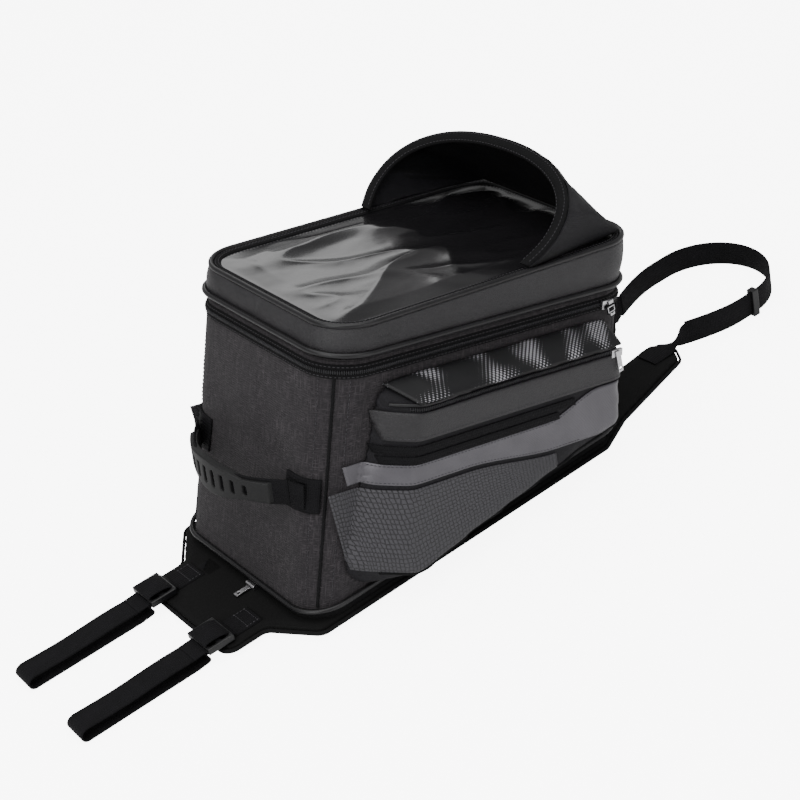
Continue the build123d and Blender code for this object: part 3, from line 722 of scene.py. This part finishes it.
def inset_ring(inset, count=200):
    size = (LID_LENGTH - 2 * inset, LID_WIDTH - 2 * inset, max(LID_RADIUS - inset, 12.0))
    spots = [ring_spot(u, *size) for u in steps(0, 1, count)[:-1]]
    return [(x, y) for x, y, _ in spots]


def window_rise(x, y):
    """Slack clear sheet: long soft folds across and along, flat where it is sewn down."""
    edge = min(LID_LENGTH / 2 - abs(x), LID_WIDTH / 2 - abs(y)) - RIM_WIDTH - 4
    hold = min(1.0, max(0.0, edge / 22.0))
    bend = 26 * wave((x, y, 0), 0.008, 4.0)
    folds = 0.0
    for scale, gain, turn in ((0.012, 3.2, 0.5), (0.024, 1.3, -0.35)):
        along_x = (x + bend) * cos(turn) + y * sin(turn)
        along_y = -(x + bend) * sin(turn) + y * cos(turn)
        ridge = 1 - abs(wave((along_x * 0.4, along_y, 0), scale, 6.0)) * 1.9
        folds += gain * max(0.0, ridge) ** 2
    return hold * (0.6 + min(folds, 4.2))


def make_lid():
    rows = [[band_point(u, t)[0] for u in band_turns] for t in steps(0, 1, 14)]
    band = cloth_piece("lid_band_skin", rows, VINYL, 3.6, closed=True)
    tell(band, "lid", "leather_vinyl", "lid_band")
    for label, node in (("top", "lid_top_piping"), ("lower", "lid_lower_piping")):
        if label == "top":
            path = [LID_MID.at(x, y, 1.6) for x, y in inset_ring(1.6, 240)]
        else:
            path = [band_spot(u, 0.0, 2.2)[0] + PARTING.w * 2.2 for u in band_turns]
        piece = tube(f"lid_{label}_welt", path, 2.7, PIPING, sides=12)
        tell(piece, "lid", "piping_vinyl", node)
    # rim: folded tape sewn round the window
    profile = ((3.6, 0.3), (4.4, 1.5), (6.5, 2.1), (RIM_WIDTH - 1.5, 1.9), (RIM_WIDTH, 1.1),
               (RIM_WIDTH + 0.8, 0.2))
    rim_rows = [[LID_MID.at(x, y, lift) for x, y in inset_ring(inset)] for inset, lift in profile]
    rim = cloth_piece("window_rim_tape", rim_rows, TAPE, 1.2, closed=True)
    tell(rim, "lid", "window_binding", "window_rim")
    for inset in (6.0, RIM_WIDTH - 1.8):
        ring = inset_ring(inset)
        line = [(LID_MID.at(x, y, 2.35), LID_MID.w) for x, y in ring + ring[:1]]
        along(f"rim_stitches_{round(inset)}", [line], STITCH, 4.0, THREAD, "lid", "window_binding")
    # window: a slack sheet inside the rim
    ring = inset_ring(RIM_WIDTH - 2.0, 240)
    rows = []
    for k in steps(0.0, 0.985, 70):
        row = [(x * (1 - k), y * (1 - k)) for x, y in ring]
        rows.append([LID_MID.at(x, y, window_rise(x, y)) for x, y in row])
    points, faces, uvs = sheet_grid(rows, True)
    last = len(points) - len(ring)
    faces.append(tuple(range(last, len(points))))
    window = finished("map_window_sheet", points, faces, WINDOW, uvs)
    thick = window.modifiers.new("thickness", "SOLIDIFY")
    thick.thickness = 0.5 * MM
    apply_modifiers(window)
    tell(window, "lid", "clear_window", "map_window")


make_lid()

# ------------------------------------------------------------------ hood
hood_origin = LID.at(HOOD_S, 0, HOOD_LIFT - 1.0)
hood_up = LID.u * sin(HOOD_LEAN) + LID.w * cos(HOOD_LEAN)
hood_out = LID.w * sin(HOOD_LEAN) - LID.u * cos(HOOD_LEAN)


def mouth(a, shrink=0.0, depth=0.0):
    """Spot on the hood's mouth; a runs from the right foot over the crown to the left."""
    half, crown = HOOD_HALF - shrink, HOOD_HEIGHT - shrink - HOOD_SIDE
    side_share = 0.13
    if a < side_share or a > 1 - side_share:
        f = min(a, 1 - a) / side_share
        across, up = half + HOOD_BULGE * sin(f * pi / 2), HOOD_SIDE * f
        across = -across if a < 0.5 else across
    else:
        angle = pi * (a - side_share) / (1 - 2 * side_share)
        c, s = cos(angle), sin(angle)
        power = 2 / 2.25
        across = -(half + HOOD_BULGE) * abs(c) ** power * (1 if c > 0 else -1)
        up = HOOD_SIDE + crown * abs(s) ** power
    skew = LID.u * (-HOOD_SKEW * across / HOOD_HALF)
    return hood_origin + skew + Vector((0, 1, 0)) * across + hood_up * up - hood_out * depth


def hood_spot(a, b, lift=0.0):
    """Spot on the canopy; b runs from the mouth to where the cloth meets the lid's front."""
    start = mouth(a)
    share = 2 * a - 1
    front_half = HOOD_HALF - 16
    end_across = front_half * max(-1.0, min(1.0, share * 1.9))
    side = max(0.0, abs(share) - 0.74) / 0.26
    s_end = HOOD_FRONT_S + (HOOD_S + 26 - HOOD_FRONT_S) * side ** 1.5
    if side > 0:
        end_across = (front_half + 14 * side) * (1 if share > 0 else -1)
    end = LID.at(s_end, end_across, HOOD_LIFT - 0.5)
    p = start.lerp(end, b)
    out = (LID.w * 0.8 + LID.u * 0.5).normalized()
    slack = sin(pi * b) * (3.0 - 7.0 * side)
    gather = 2.4 * cos(a * pi * 21) * max(0.0, 1 - abs(b - 0.2) / 0.3) * (1 - side)
    crease = 2.4 * wave((p.x, p.y, p.z), 0.028, 11.0) * sin(pi * b)
    return p + out * (slack + gather + crease + lift)


def make_hood():
    shares = steps(0, 1, 128)
    layers = []
    for name, lift, material, thick in (("hood_cloth", 0.0, RIPSTOP, 0.9),
                                        ("hood_inner_cloth", -1.6, LINING, 0.5)):
        rows = [[hood_spot(a, b, lift) for a in shares] for b in steps(0.012, 1, 34)]
        layers.append(cloth_piece(name, rows, material, thick, offset=1.0, flip=True))
    canopy, lining = layers
    start, end = LID.at(HOOD_FRONT_S - 6, 0, 8) * MM, mouth(0.5) * MM
    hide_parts("hood_canopy")
    for piece in (canopy, lining):
        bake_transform(piece)
    # binding round the mouth, folded over the stiffening arch
    profile = ((0.0, 1.0), (-0.6, -2.2), (2.0, -2.8), (HOOD_BINDING - 1, -2.4),
               (HOOD_BINDING, -1.2), (HOOD_BINDING, 0.4), (HOOD_BINDING - 1, 1.6), (2.0, 2.0))
    rows = [[mouth(a, shrink, depth) for a in steps(0, 1, 128)] for shrink, depth in profile]
    rows.append(rows[0])
    points, faces, uvs = sheet_grid(rows)
    binding = outward(finished("hood_binding", points, faces, TAPE, uvs))
    tell(binding, "hood", "binding_tape", "hood_arch")
    lines = []
    for shrink in (2.2, HOOD_BINDING - 1.6):
        lines.append([(mouth(a, shrink, -3.0), hood_out) for a in steps(0.02, 0.98, 120)])
    along("hood_stitches", lines, STITCH, 4.0, THREAD, "hood", "binding_tape")


make_hood()

# ------------------------------------------------------------------ side pockets
# outlines on the right side, from the top rear corner round to the top front corner
POCKET_BACK = [(-96.0, -POCKET_TOP), (-183.0, 56.0), (-168.0, POCKET_FLOOR), (164.0, 46.0),
               (182.0, -POCKET_TOP)]
POCKET_FACE = [(-75.0, -POCKET_EDGE), (-130.0, 56.0), (-118.0, POCKET_FLOOR + 1), (156.0, 50.0),
               (170.0, -POCKET_EDGE)]


def rounded_outline(corners, radius, per_corner=7, per_side=14):
    """Outline in x and z with rounded corners; a negative z is a drop below the parting line."""
    spots = [Vector((x, parting_z(x) + z if z < 0 else z)) for x, z in corners]
    count, outline = len(spots), []
    for i, here in enumerate(spots):
        before, after = spots[i - 1], spots[(i + 1) % count]
        back, on = (before - here).normalized(), (after - here).normalized()
        reach = min(radius, (before - here).length / 2.2, (after - here).length / 2.2)
        a, b = here + back * reach, here + on * reach
        for k in range(per_corner + 1):
            f = k / per_corner
            outline.append(a * (1 - f) ** 2 + here * 2 * f * (1 - f) + b * f ** 2)
        gap = after + (here - after).normalized() * min(
            radius, (after - here).length / 2.2, (spots[(i + 2) % count] - after).length / 2.2)
        for k in range(1, per_side):
            outline.append(b.lerp(gap, k / per_side))
    return outline


def pocket_hull():
    """Full, soft form of the right pocket as rings from the bag's side to its middle."""
    back = rounded_outline(POCKET_BACK, 16)
    face = rounded_outline(POCKET_FACE, 14)
    mid = Vector((10, 105))
    rings = []
    for f, out in ((0.0, 0.0), (0.35, 12.0), (0.7, 23.0), (0.93, 30.5), (1.0, 33.0)):
        rings.append([(a.lerp(b, f), out) for a, b in zip(back, face)])
    for k in (0.06, 0.14, 0.3, 0.5, 0.7, 0.88):
        rings.append([(b.lerp(mid, k), 33.6) for b in face])
    rows = [[Vector((p.x, -HALF - out, p.y)) for p, out in ring] for ring in rings]
    points, faces, _ = sheet_grid(rows, True)
    count = len(back)
    faces.append(tuple(range(len(points) - count, len(points))))
    faces.append(tuple(reversed(range(count))))
    return outward(finished("pocket_form", points, faces, RIPSTOP))


def inflate(piece, voxel, pressure, cap):
    """Fill a closed form with air as cloth, held to a largest move in millimetres."""
    grid = piece.modifiers.new("grid", "REMESH")
    grid.mode = "VOXEL"
    grid.voxel_size = voxel * MM
    apply_modifiers(piece)
    start = [v.co.copy() for v in piece.data.vertices]
    cloth = piece.modifiers.new("cloth", "CLOTH")
    cloth.settings.use_pressure = True
    cloth.settings.uniform_pressure_force = pressure
    cloth.settings.effector_weights.gravity = 0
    cloth.settings.tension_stiffness = 20
    cloth.settings.quality = 4
    cloth.point_cache.frame_start, cloth.point_cache.frame_end = 1, 20
    for f in range(1, 21):
        bpy.context.scene.frame_set(f)
    apply_modifiers(piece)
    bpy.context.scene.frame_set(1)
    for v, was in zip(piece.data.vertices, start):
        move = v.co - was
        if move.length > cap * MM:
            v.co = was + move.normalized() * cap * MM
    ease = piece.modifiers.new("ease", "SMOOTH")
    ease.factor = 0.5
    ease.iterations = 3
    fine = piece.modifiers.new("fine", "SUBSURF")
    fine.levels = fine.render_levels = 1
    return apply_modifiers(piece)


def planar_uvs(piece, along_axis=0, up_axis=2):
    """UV map in metres over a piece that is mostly flat."""
    layer = piece.data.uv_layers.new(name="Cloth")
    for loop in piece.data.loops:
        co = piece.data.vertices[loop.vertex_index].co
        layer.data[loop.index].uv = (co[along_axis], co[up_axis])


def mirror_piece(piece, name):
    mesh = piece.data.copy()
    mesh.transform(Matrix.Scale(-1, 4, (0, 1, 0)))
    mesh.flip_normals()
    copy = bpy.data.objects.new(name, mesh)
    bpy.context.scene.collection.objects.link(copy)
    return copy


pocket = inflate(pocket_hull(), 4.0, 3.0, 3.0)
planar_uvs(pocket)
shade(pocket, RIPSTOP)
pocket.name = "right_pocket_cloth"
POCKET_SKIN = BVHTree.FromPolygons([v.co / MM for v in pocket.data.vertices],
                                   [tuple(p.vertices) for p in pocket.data.polygons])


def on_pocket(x, z, lift=0.0):
    """Spot on the right pocket's skin, looked at from its side, and its outside."""
    spot, normal, _, _ = POCKET_SKIN.ray_cast(Vector((x, -400, z)), Vector((0, 1, 0)))
    if spot is None:
        return Vector((x, -HALF - 1.0, z)), Vector((0, -1, 0))
    return spot + normal * lift, normal


def flipped(p, side):
    return Vector((p.x, p.y * side, p.z))


def both_sides(piece, slot, body, node=None):
    """Finish a right-hand piece and its left-hand twin."""
    twin = mirror_piece(piece, piece.name.replace("right_", "left_"))
    for side, one in (("right", piece), ("left", twin)):
        where = body.replace("SIDE", side)
        tell(one, where, slot, *([f"{side}_{node}"] if node else []))
    return twin


both_sides(pocket, "ripstop", "bag", "pocket_shell")


def patch(name, low, high, x0, x1, material, thick, slot, node, columns=90, rows_count=12):
    """Sheet laid on the pocket between two edge lines given as heights over x."""
    rows = []
    for t in steps(0, 1, rows_count):
        rows.append([on_pocket(x, low(x) + (high(x) - low(x)) * t, 0.35)[0]
                     for x in steps(x0, x1, columns)])
    piece = cloth_piece(name, rows, material, thick, offset=1.0)
    both_sides(piece, slot, "bag", node)
    return piece


def edge_stitches(name, level, x0, x1, lift=1.6):
    for side in (1, -1):
        line = []
        for x in steps(x0, x1, 90):
            p, n = on_pocket(x, level(x), lift)
            line.append((flipped(p, side), flipped(n, side)))
        label = "right" if side == 1 else "left"
        along(f"{label}_{name}", [line], STITCH, 4.0, THREAD, "bag", "binding_tape")


def drop(amount):
    return lambda x: parting_z(x) - amount


def strip_high(x):
    """Drop of the grey strip's upper edge: level, then up to the vinyl band at the front."""
    return 107.0 - 22.0 * smooth_step((x - 60.0) / 75.0)


def strip_low(x):
    """Drop of the grey strip's lower edge, which falls away slowly to the front."""
    return 128.0 + 12.0 * smooth_step((x + 40.0) / 110.0)


def smooth_step(f):
    f = min(max(f, 0.0), 1.0)
    return f * f * (3 - 2 * f)


def pocket_foot(x):
    """Height of the pocket's lower outline."""
    front = POCKET_FACE[2:4]
    if x < front[0][0]:
        (x0, z0), (x1, z1) = POCKET_BACK[1], front[0]
    else:
        (x0, z0), (x1, z1) = front
    share = min(max((x - x0) / (x1 - x0), 0.0), 1.0)
    return z0 + (z1 - z0) * share + 2.0


def make_pockets():
    patch("right_vinyl_band", drop(82), drop(54), -108, 168, VINYL, 2.0, "leather_vinyl",
          "pocket_band")
    edge_stitches("band_stitches", drop(79.5), -104, 164, 2.4)
    patch("right_bead_strip", lambda x: max(parting_z(x) - strip_low(x), pocket_foot(x) + 1.5),
          lambda x: parting_z(x) - strip_high(x), -150, 170, BEADS, 0.8, "reflective_tape",
          "reflective_strip", rows_count=16)
    edge_stitches("strip_stitches", lambda x: parting_z(x) - strip_high(x) - 2.0, -146, 120, 1.2)
    edge_stitches("strip_low_stitches", lambda x: parting_z(x) - strip_low(x) + 2.0, -146, 96, 1.2)
    for count, amount in enumerate((88.0, 98.5)):
        patch(f"right_row_webbing_{count}", drop(amount + 8.0), drop(amount), -118, 100 - 22 * count,
              BELT, 1.3, "webbing", None, rows_count=3)

    def panel_top(x):
        return parting_z(x) - strip_low(x) - 5.0
    patch("right_pressed_panel", lambda x: min(pocket_foot(x) + 4.0, panel_top(x) - 1),
          panel_top, -172, 66, FOAM, 1.0, "embossed_foam", "embossed_panel", rows_count=26)
    for side, label in ((1, "right"), (-1, "left")):
        # piping along the outer edge of the pocket's top
        path = []
        for x in steps(-92, 172, 90):
            p, _ = on_pocket(x, parting_z(x) - POCKET_EDGE - 1.5, 0.8)
            path.append(flipped(p, side))
        tell(tube(f"{label}_pocket_welt", path, 1.8, PIPING, closed=False), "bag", "piping_vinyl")
        foot = []
        for x in steps(-150, 152, 90):
            p, _ = on_pocket(x, pocket_foot(x) + 2.0, 0.6)
            foot.append(flipped(p, side))
        tell(tube(f"{label}_pocket_foot_welt", foot, 1.8, TAPE, closed=False), "bag", "binding_tape")
        teeth = []
        for x in steps(-80, 168, 90):
            p, n = on_pocket(x, parting_z(x) - POCKET_EDGE - 5.0, 0.7)
            teeth.append((flipped(p, side), flipped(n, side)))
        coil = along(f"{label}_pocket_coil", [teeth], TOOTH, 2.1, COIL, "bag", "zip_teeth")
        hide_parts(f"{label}_pocket_teeth")
    # lid of the pocket: a full panel that slopes down to the zip
    slope = Vector((0, -POCKET_DEPTH, -(POCKET_EDGE - POCKET_TOP)))
    normal = Vector((sin(PARTING_TILT), -0.42, cos(PARTING_TILT))).normalized()
    rows = []
    for f in steps(0.09, 1.03, 16):
        row = []
        x_rear = -90 + (-75 + 92) * f
        x_front = 178 - 8 * f
        for g in steps(0, 1, 80):
            x = x_rear + (x_front - x_rear) * g
            base = Vector((x, -HALF, parting_z(x) - POCKET_TOP)) + slope * f
            crown = (1 - (2 * f - 1) ** 4) * min(1, g * 9, (1 - g) * 9)
            ripple = 0.5 * wave((x, f * 40, 0), 0.04, 7.0)
            row.append(base + normal * (0.6 + 2.6 * crown + ripple * crown))
        rows.append(row)
    top = cloth_piece("right_pocket_top", rows, PRINT, 2.2, offset=-1.0)
    both_sides(top, "printed_fabric", "SIDE_pocket_lid", "pocket_lid")


make_pockets()

# ------------------------------------------------------------------ handle, zip pulls, buckles
softened("handle_grip", GRIP, 0.8, "handle", passes=5)
for side in ("left", "right"):
    softened(f"rear_buckle_{side}", PLASTIC, 0.7, "harness", passes=4)
softened("front_strap_keeper", PLASTIC, 0.6, "front_strap", passes=3)
for node, body in (("main_zip_slider", "main_slider"), ("main_zip_pull", "main_pull"),
                   ("base_zip_slider", "base_slider"), ("base_zip_pull", "base_pull"),
                   ("right_pocket_slider", "right_pocket_slider"),
                   ("left_pocket_slider", "left_pocket_slider"),
                   ("right_pocket_pull", "right_pocket_pull"),
                   ("left_pocket_pull", "left_pocket_pull")):
    softened(node, METAL, 0.3, body, passes=3)


def make_tag_outline():
    """Plain woven rectangle outlined in pale thread on the zip's fabric tag."""
    low, high = (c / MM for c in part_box("main_zip_tag"))
    y = low.y - 0.1 if abs(low.y) > abs(high.y) else high.y + 0.1
    path = [Vector((x, y, z)) for x, z in ((low.x + 1.6, low.z + 1.6), (high.x - 1.6, low.z + 1.6),
                                           (high.x - 1.6, high.z - 1.6), (low.x + 1.6, high.z - 1.6))]
    tell(tube("zip_tag_outline", path, 0.45, PALE), "main_pull", "binding_tape")


make_tag_outline()


def make_handle_tabs():
    """Webbing ends sewn to the rear panel, bent round its corners."""
    lean = atan2(PARTING_X - BODY_REAR_X, PARTING_Z - FLOOR_Z)
    t_mid = (HANDLE_Z - FLOOR_Z) / (PARTING_Z - FLOOR_Z)
    for side, label in ((-1, "right"), (1, "left")):
        fine = steps(0.084, 0.1215, 14)
        if side == 1:
            fine = [1 - u for u in fine]
        rows = []
        for dt in steps(-TAB_HALF / WALL_RISE, TAB_HALF / WALL_RISE, 8):
            rows.append([body_point(u, t_mid + dt, 0.4)[0] for u in fine])
        tab = cloth_piece(f"{label}_handle_tab", rows, BELT, 2.2, offset=1.0, flip=side == 1)
        tell(tab, "bag", "webbing")
    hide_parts("handle_tabs")
    # one flat webbing from tab to tab, through the grip
    out = Vector((-cos(lean), 0, sin(lean)))
    down = Vector((-sin(lean), 0, -cos(lean)))
    root = Vector((BODY_REAR_X + (HANDLE_Z - FLOOR_Z) * tan(lean), 0, HANDLE_Z))
    arm = out * cos(HANDLE_DROOP) + down * sin(HANDLE_DROOP)
    across = down * cos(HANDLE_DROOP) - out * sin(HANDLE_DROOP)
    path = []
    for k in steps(-1, 1, 60):
        y = k * HANDLE_SPAN
        bow = HANDLE_BOW * (1 - abs(k) ** 2.1)
        path.append(root + out * HANDLE_PIVOT + arm * bow + Vector((0, y, 0)))
    belt = ribbon("handle_belt", path, across, 28, 2.4, BELT)
    tell(belt, "handle", "webbing", "handle_webbing")
    for side, label in ((-1, "right"), (1, "left")):
        end = root + out * HANDLE_PIVOT + Vector((0, side * HANDLE_SPAN, 0))
        sewn = [end + out * (-HANDLE_PIVOT + 3.4) * f ** 1.5 + Vector((0, side * 16 * f, 0))
                for f in steps(0, 1, 12)]
        fold = ribbon(f"{label}_handle_fold", sewn, across, 28, 2.2, BELT)
        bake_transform(fold)


make_handle_tabs()

# ------------------------------------------------------------------ harness
def make_pad():
    pad = welded_copy("harness_pad", "harness_padding")
    inflate(pad, 3.5, 2.0, 1.2)
    shade(pad, PAD_CLOTH)
    tell(pad, "harness", "pad_fabric", "harness_pad")


make_pad()


def smooth_path(points, count):
    """Even points along a smooth curve through the given ones."""
    spots = [points[0] * 2 - points[1], *points, points[-1] * 2 - points[-2]]
    path = []
    for i in range(count + 1):
        f = i / count * (len(points) - 1)
        k = min(int(f), len(points) - 2)
        t = f - k
        p0, p1, p2, p3 = spots[k:k + 4]
        path.append(0.5 * (2 * p1 + (p2 - p0) * t + (2 * p0 - 5 * p1 + 4 * p2 - p3) * t ** 2
                           + (3 * p1 - p0 - 3 * p2 + p3) * t ** 3))
    return path


def make_straps():
    """Webbing loops at the rear, the standing loop at the front, and their sewn ends."""
    for side, label in ((1, "left"), (-1, "right")):
        def spot(x, z):
            return Vector((x, side * STRAP_Y, z))

        node = f"rear_strap_{label}"
        low, high = (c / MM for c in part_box(node))
        x0, x1 = high.x, low.x
        top, base = high.z - 0.9, low.z + 0.9
        r = (top - base) / 2
        runs = steps(0, x0 - x1 - r, 30)
        path = [spot(x0 - k, top + 0.7 * sin(k / 17)) for k in runs]
        path += [spot(x1 + r - r * sin(a), base + r + r * cos(a))
                 for a in steps(0.15, pi - 0.15, 12)]
        path += [spot(x1 + r + k, base) for k in runs]
        belt = ribbon(f"rear_belt_{label}", path, (0, 1, 0), WEBBING, 1.8, BELT)
        tell(belt, f"rear_strap_{label}", "webbing", node)
        # from the loop up over the buckle's bars, and down again under its rear bar
        top_z = PAD_TOP + 11.5
        reach = [spot(x0 - 4, top + 0.3), spot(x0 + 14, top + 2),
                 spot(-312, top_z), spot(-298, top_z + 1.0),
                 spot(-287, top_z - 1.5), spot(-279, PAD_TOP + 3.4)]
        lead = ribbon(f"rear_lead_{label}", smooth_path(reach, 36), (0, 1, 0), WEBBING, 1.8, BELT)
        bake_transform(lead)
        tail = [spot(x0 - 4, base + 0.2), spot(x0 + 12, base + 2),
                spot(-313, PAD_TOP + 1), spot(-300, PAD_TOP + 3)]
        under = ribbon(f"rear_tail_{label}", smooth_path(tail, 24), (0, 1, 0), WEBBING, 1.8, BELT)
        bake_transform(under)
        low, high = (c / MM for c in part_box(f"rear_strap_anchor_{label}"))
        z = PAD_TOP + 1.2
        path = [spot(x, z) for x in steps(high.x, low.x + 4, 14)]
        anchor = ribbon(f"rear_anchor_belt_{label}", path, (0, 1, 0), WEBBING, 2.2, BELT)
        tell(anchor, "harness", "webbing", f"rear_strap_anchor_{label}")
        lines = []
        for x in (high.x - 4, high.x - 16):
            lines.append([(Vector((x, side * STRAP_Y + y, z + 1.3)), Vector((0, 0, 1)))
                          for y in steps(-12, 12, 12)])
        for y in (-12, 12):
            lines.append([(Vector((x, side * STRAP_Y + y, z + 1.3)), Vector((0, 0, 1)))
                          for x in steps(high.x - 16, high.x - 4, 6)])
        along(f"anchor_stitches_{label}", lines, STITCH, 3.2, THREAD, "harness", "webbing")
    low, high = (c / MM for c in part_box("front_strap"))
    x1, w, z = low.x, high.y - 0.9, (low.z + high.z) / 2
    x2 = high.x - 0.9 - w
    path = []
    for k in steps(0, 1, 24):
        path.append(Vector((x1 + (x2 - x1) * k, -(52 + (w - 52) * sin(pi / 2 * min(1, k * 1.25))), z)))
    path += [Vector((x2 + w * sin(a), -w * cos(a), z)) for a in steps(0.05, pi - 0.05, 40)]
    path += [Vector((p.x, -p.y, p.z)) for p in reversed(path[:25])]
    loop = ribbon("front_belt", path, (0, 0, 1), WEBBING, 1.8, BELT)
    tell(loop, "front_strap", "webbing", "front_strap")
    # tabs from the wings, twisting on edge to meet the loop
    for side, label in ((1, "left"), (-1, "right")):
        route = smooth_path([Vector((x, side * y, height)) for x, y, height in (
            (288, 52, PAD_TOP + 1.4), (312, 52, PAD_TOP + 2.0), (332, 52, PAD_TOP + 4.0),
            (x1 + 3, 53.0, z))], 40)

        def across(i):
            turn = smooth_step((i - 14) / 24) * radians(90)
            return (0, cos(turn) * side, sin(turn))
        tab = ribbon(f"front_tab_{label}", route, across, 27, 2.0, BELT)
        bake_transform(tab)
    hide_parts("front_strap_tabs")


make_straps()

# ------------------------------------------------------------------ CAD pieces kept as they are
KEPT = {"grip_liner": LINER, "pad_binding": TAPE, "base_zip_tape": TAPE, "blank_label": LABEL,
        "floor_board": BOARD, "lid_board": BOARD, "bottom_piping": PIPING, "lid_hinge_tape": TAPE,
        "main_zip_tag": LABEL}
for node, material in KEPT.items():
    shade(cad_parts[node], material)

# ------------------------------------------------------------------ studio and camera
VIEW_AZIMUTH, VIEW_ELEVATION, VIEW_ROLL = radians(-30.33), radians(32.62), radians(-13.51)
CAMERA_PLACE = Vector((-784.47, -1340.86, 1096.68)) * MM
LENS, SENSOR = 80.58, 36.0
PAPER_GLOW = 7.0


def make_camera():
    a, e, roll = VIEW_AZIMUTH, VIEW_ELEVATION, VIEW_ROLL
    back = Vector((sin(a) * cos(e), -cos(a) * cos(e), sin(e)))
    right = Vector((cos(a), sin(a), 0))
    up = back.cross(right)
    level = right * cos(roll) + up * sin(roll)
    upright = up * cos(roll) - right * sin(roll)
    data = bpy.data.cameras.new("camera")
    data.lens, data.sensor_width = LENS, SENSOR
    camera = bpy.data.objects.new("camera", data)
    turn = Matrix((level, upright, back)).transposed().to_4x4()
    camera.matrix_world = Matrix.Translation(CAMERA_PLACE) @ turn
    bpy.context.scene.collection.objects.link(camera)
    bpy.context.scene.camera = camera


def soft_light(name, place, size, power, colour=(1, 1, 1)):
    data = bpy.data.lights.new(name, "AREA")
    data.shape, data.size, data.energy, data.color = "SQUARE", size, power, colour
    lamp = bpy.data.objects.new(name, data)
    lamp.location = place
    lamp.rotation_euler = (Vector((0.02, 0, 0.12)) - Vector(place)).to_track_quat("-Z", "Y").to_euler()
    bpy.context.scene.collection.objects.link(lamp)


def make_studio():
    material, tree, shader = start_material("paper_floor", {
        "Roughness": 0.9, "Base Color": hex_rgb("#f4f4f4"), "Emission Color": (1, 1, 1, 1)})
    seen = add(tree, "ShaderNodeLightPath")
    glow = add(tree, "ShaderNodeMath", {0: seen.outputs["Is Camera Ray"], 1: PAPER_GLOW},
               operation="MULTIPLY")
    tree.links.new(glow.outputs[0], shader.inputs["Emission Strength"])
    mesh = bpy.data.meshes.new("floor")
    reach = 6.0
    mesh.from_pydata([(-reach, -reach, -0.0006), (reach, -reach, -0.0006),
                      (reach, reach, -0.0006), (-reach, reach, -0.0006)], [], [(0, 1, 2, 3)])
    mesh.materials.append(material)
    floor = bpy.data.objects.new("floor", mesh)
    bpy.context.scene.collection.objects.link(floor)
    world = bpy.data.worlds.new("studio")
    world.use_nodes = True
    background = world.node_tree.nodes["Background"]
    background.inputs["Color"].default_value = (1, 1, 1, 1)
    background.inputs["Strength"].default_value = 0.42
    bpy.context.scene.world = world
    soft_light("overhead", (-0.2, -0.2, 3.0), 3.6, 125)
    soft_light("window_light", (0.93, 1.62, 0.92), 0.62, 2.6)
    soft_light("key", (-1.8, -0.7, 1.1), 0.9, 20)
    soft_light("fill", (0.3, -2.1, 0.7), 1.0, 10)


make_camera()
make_studio()
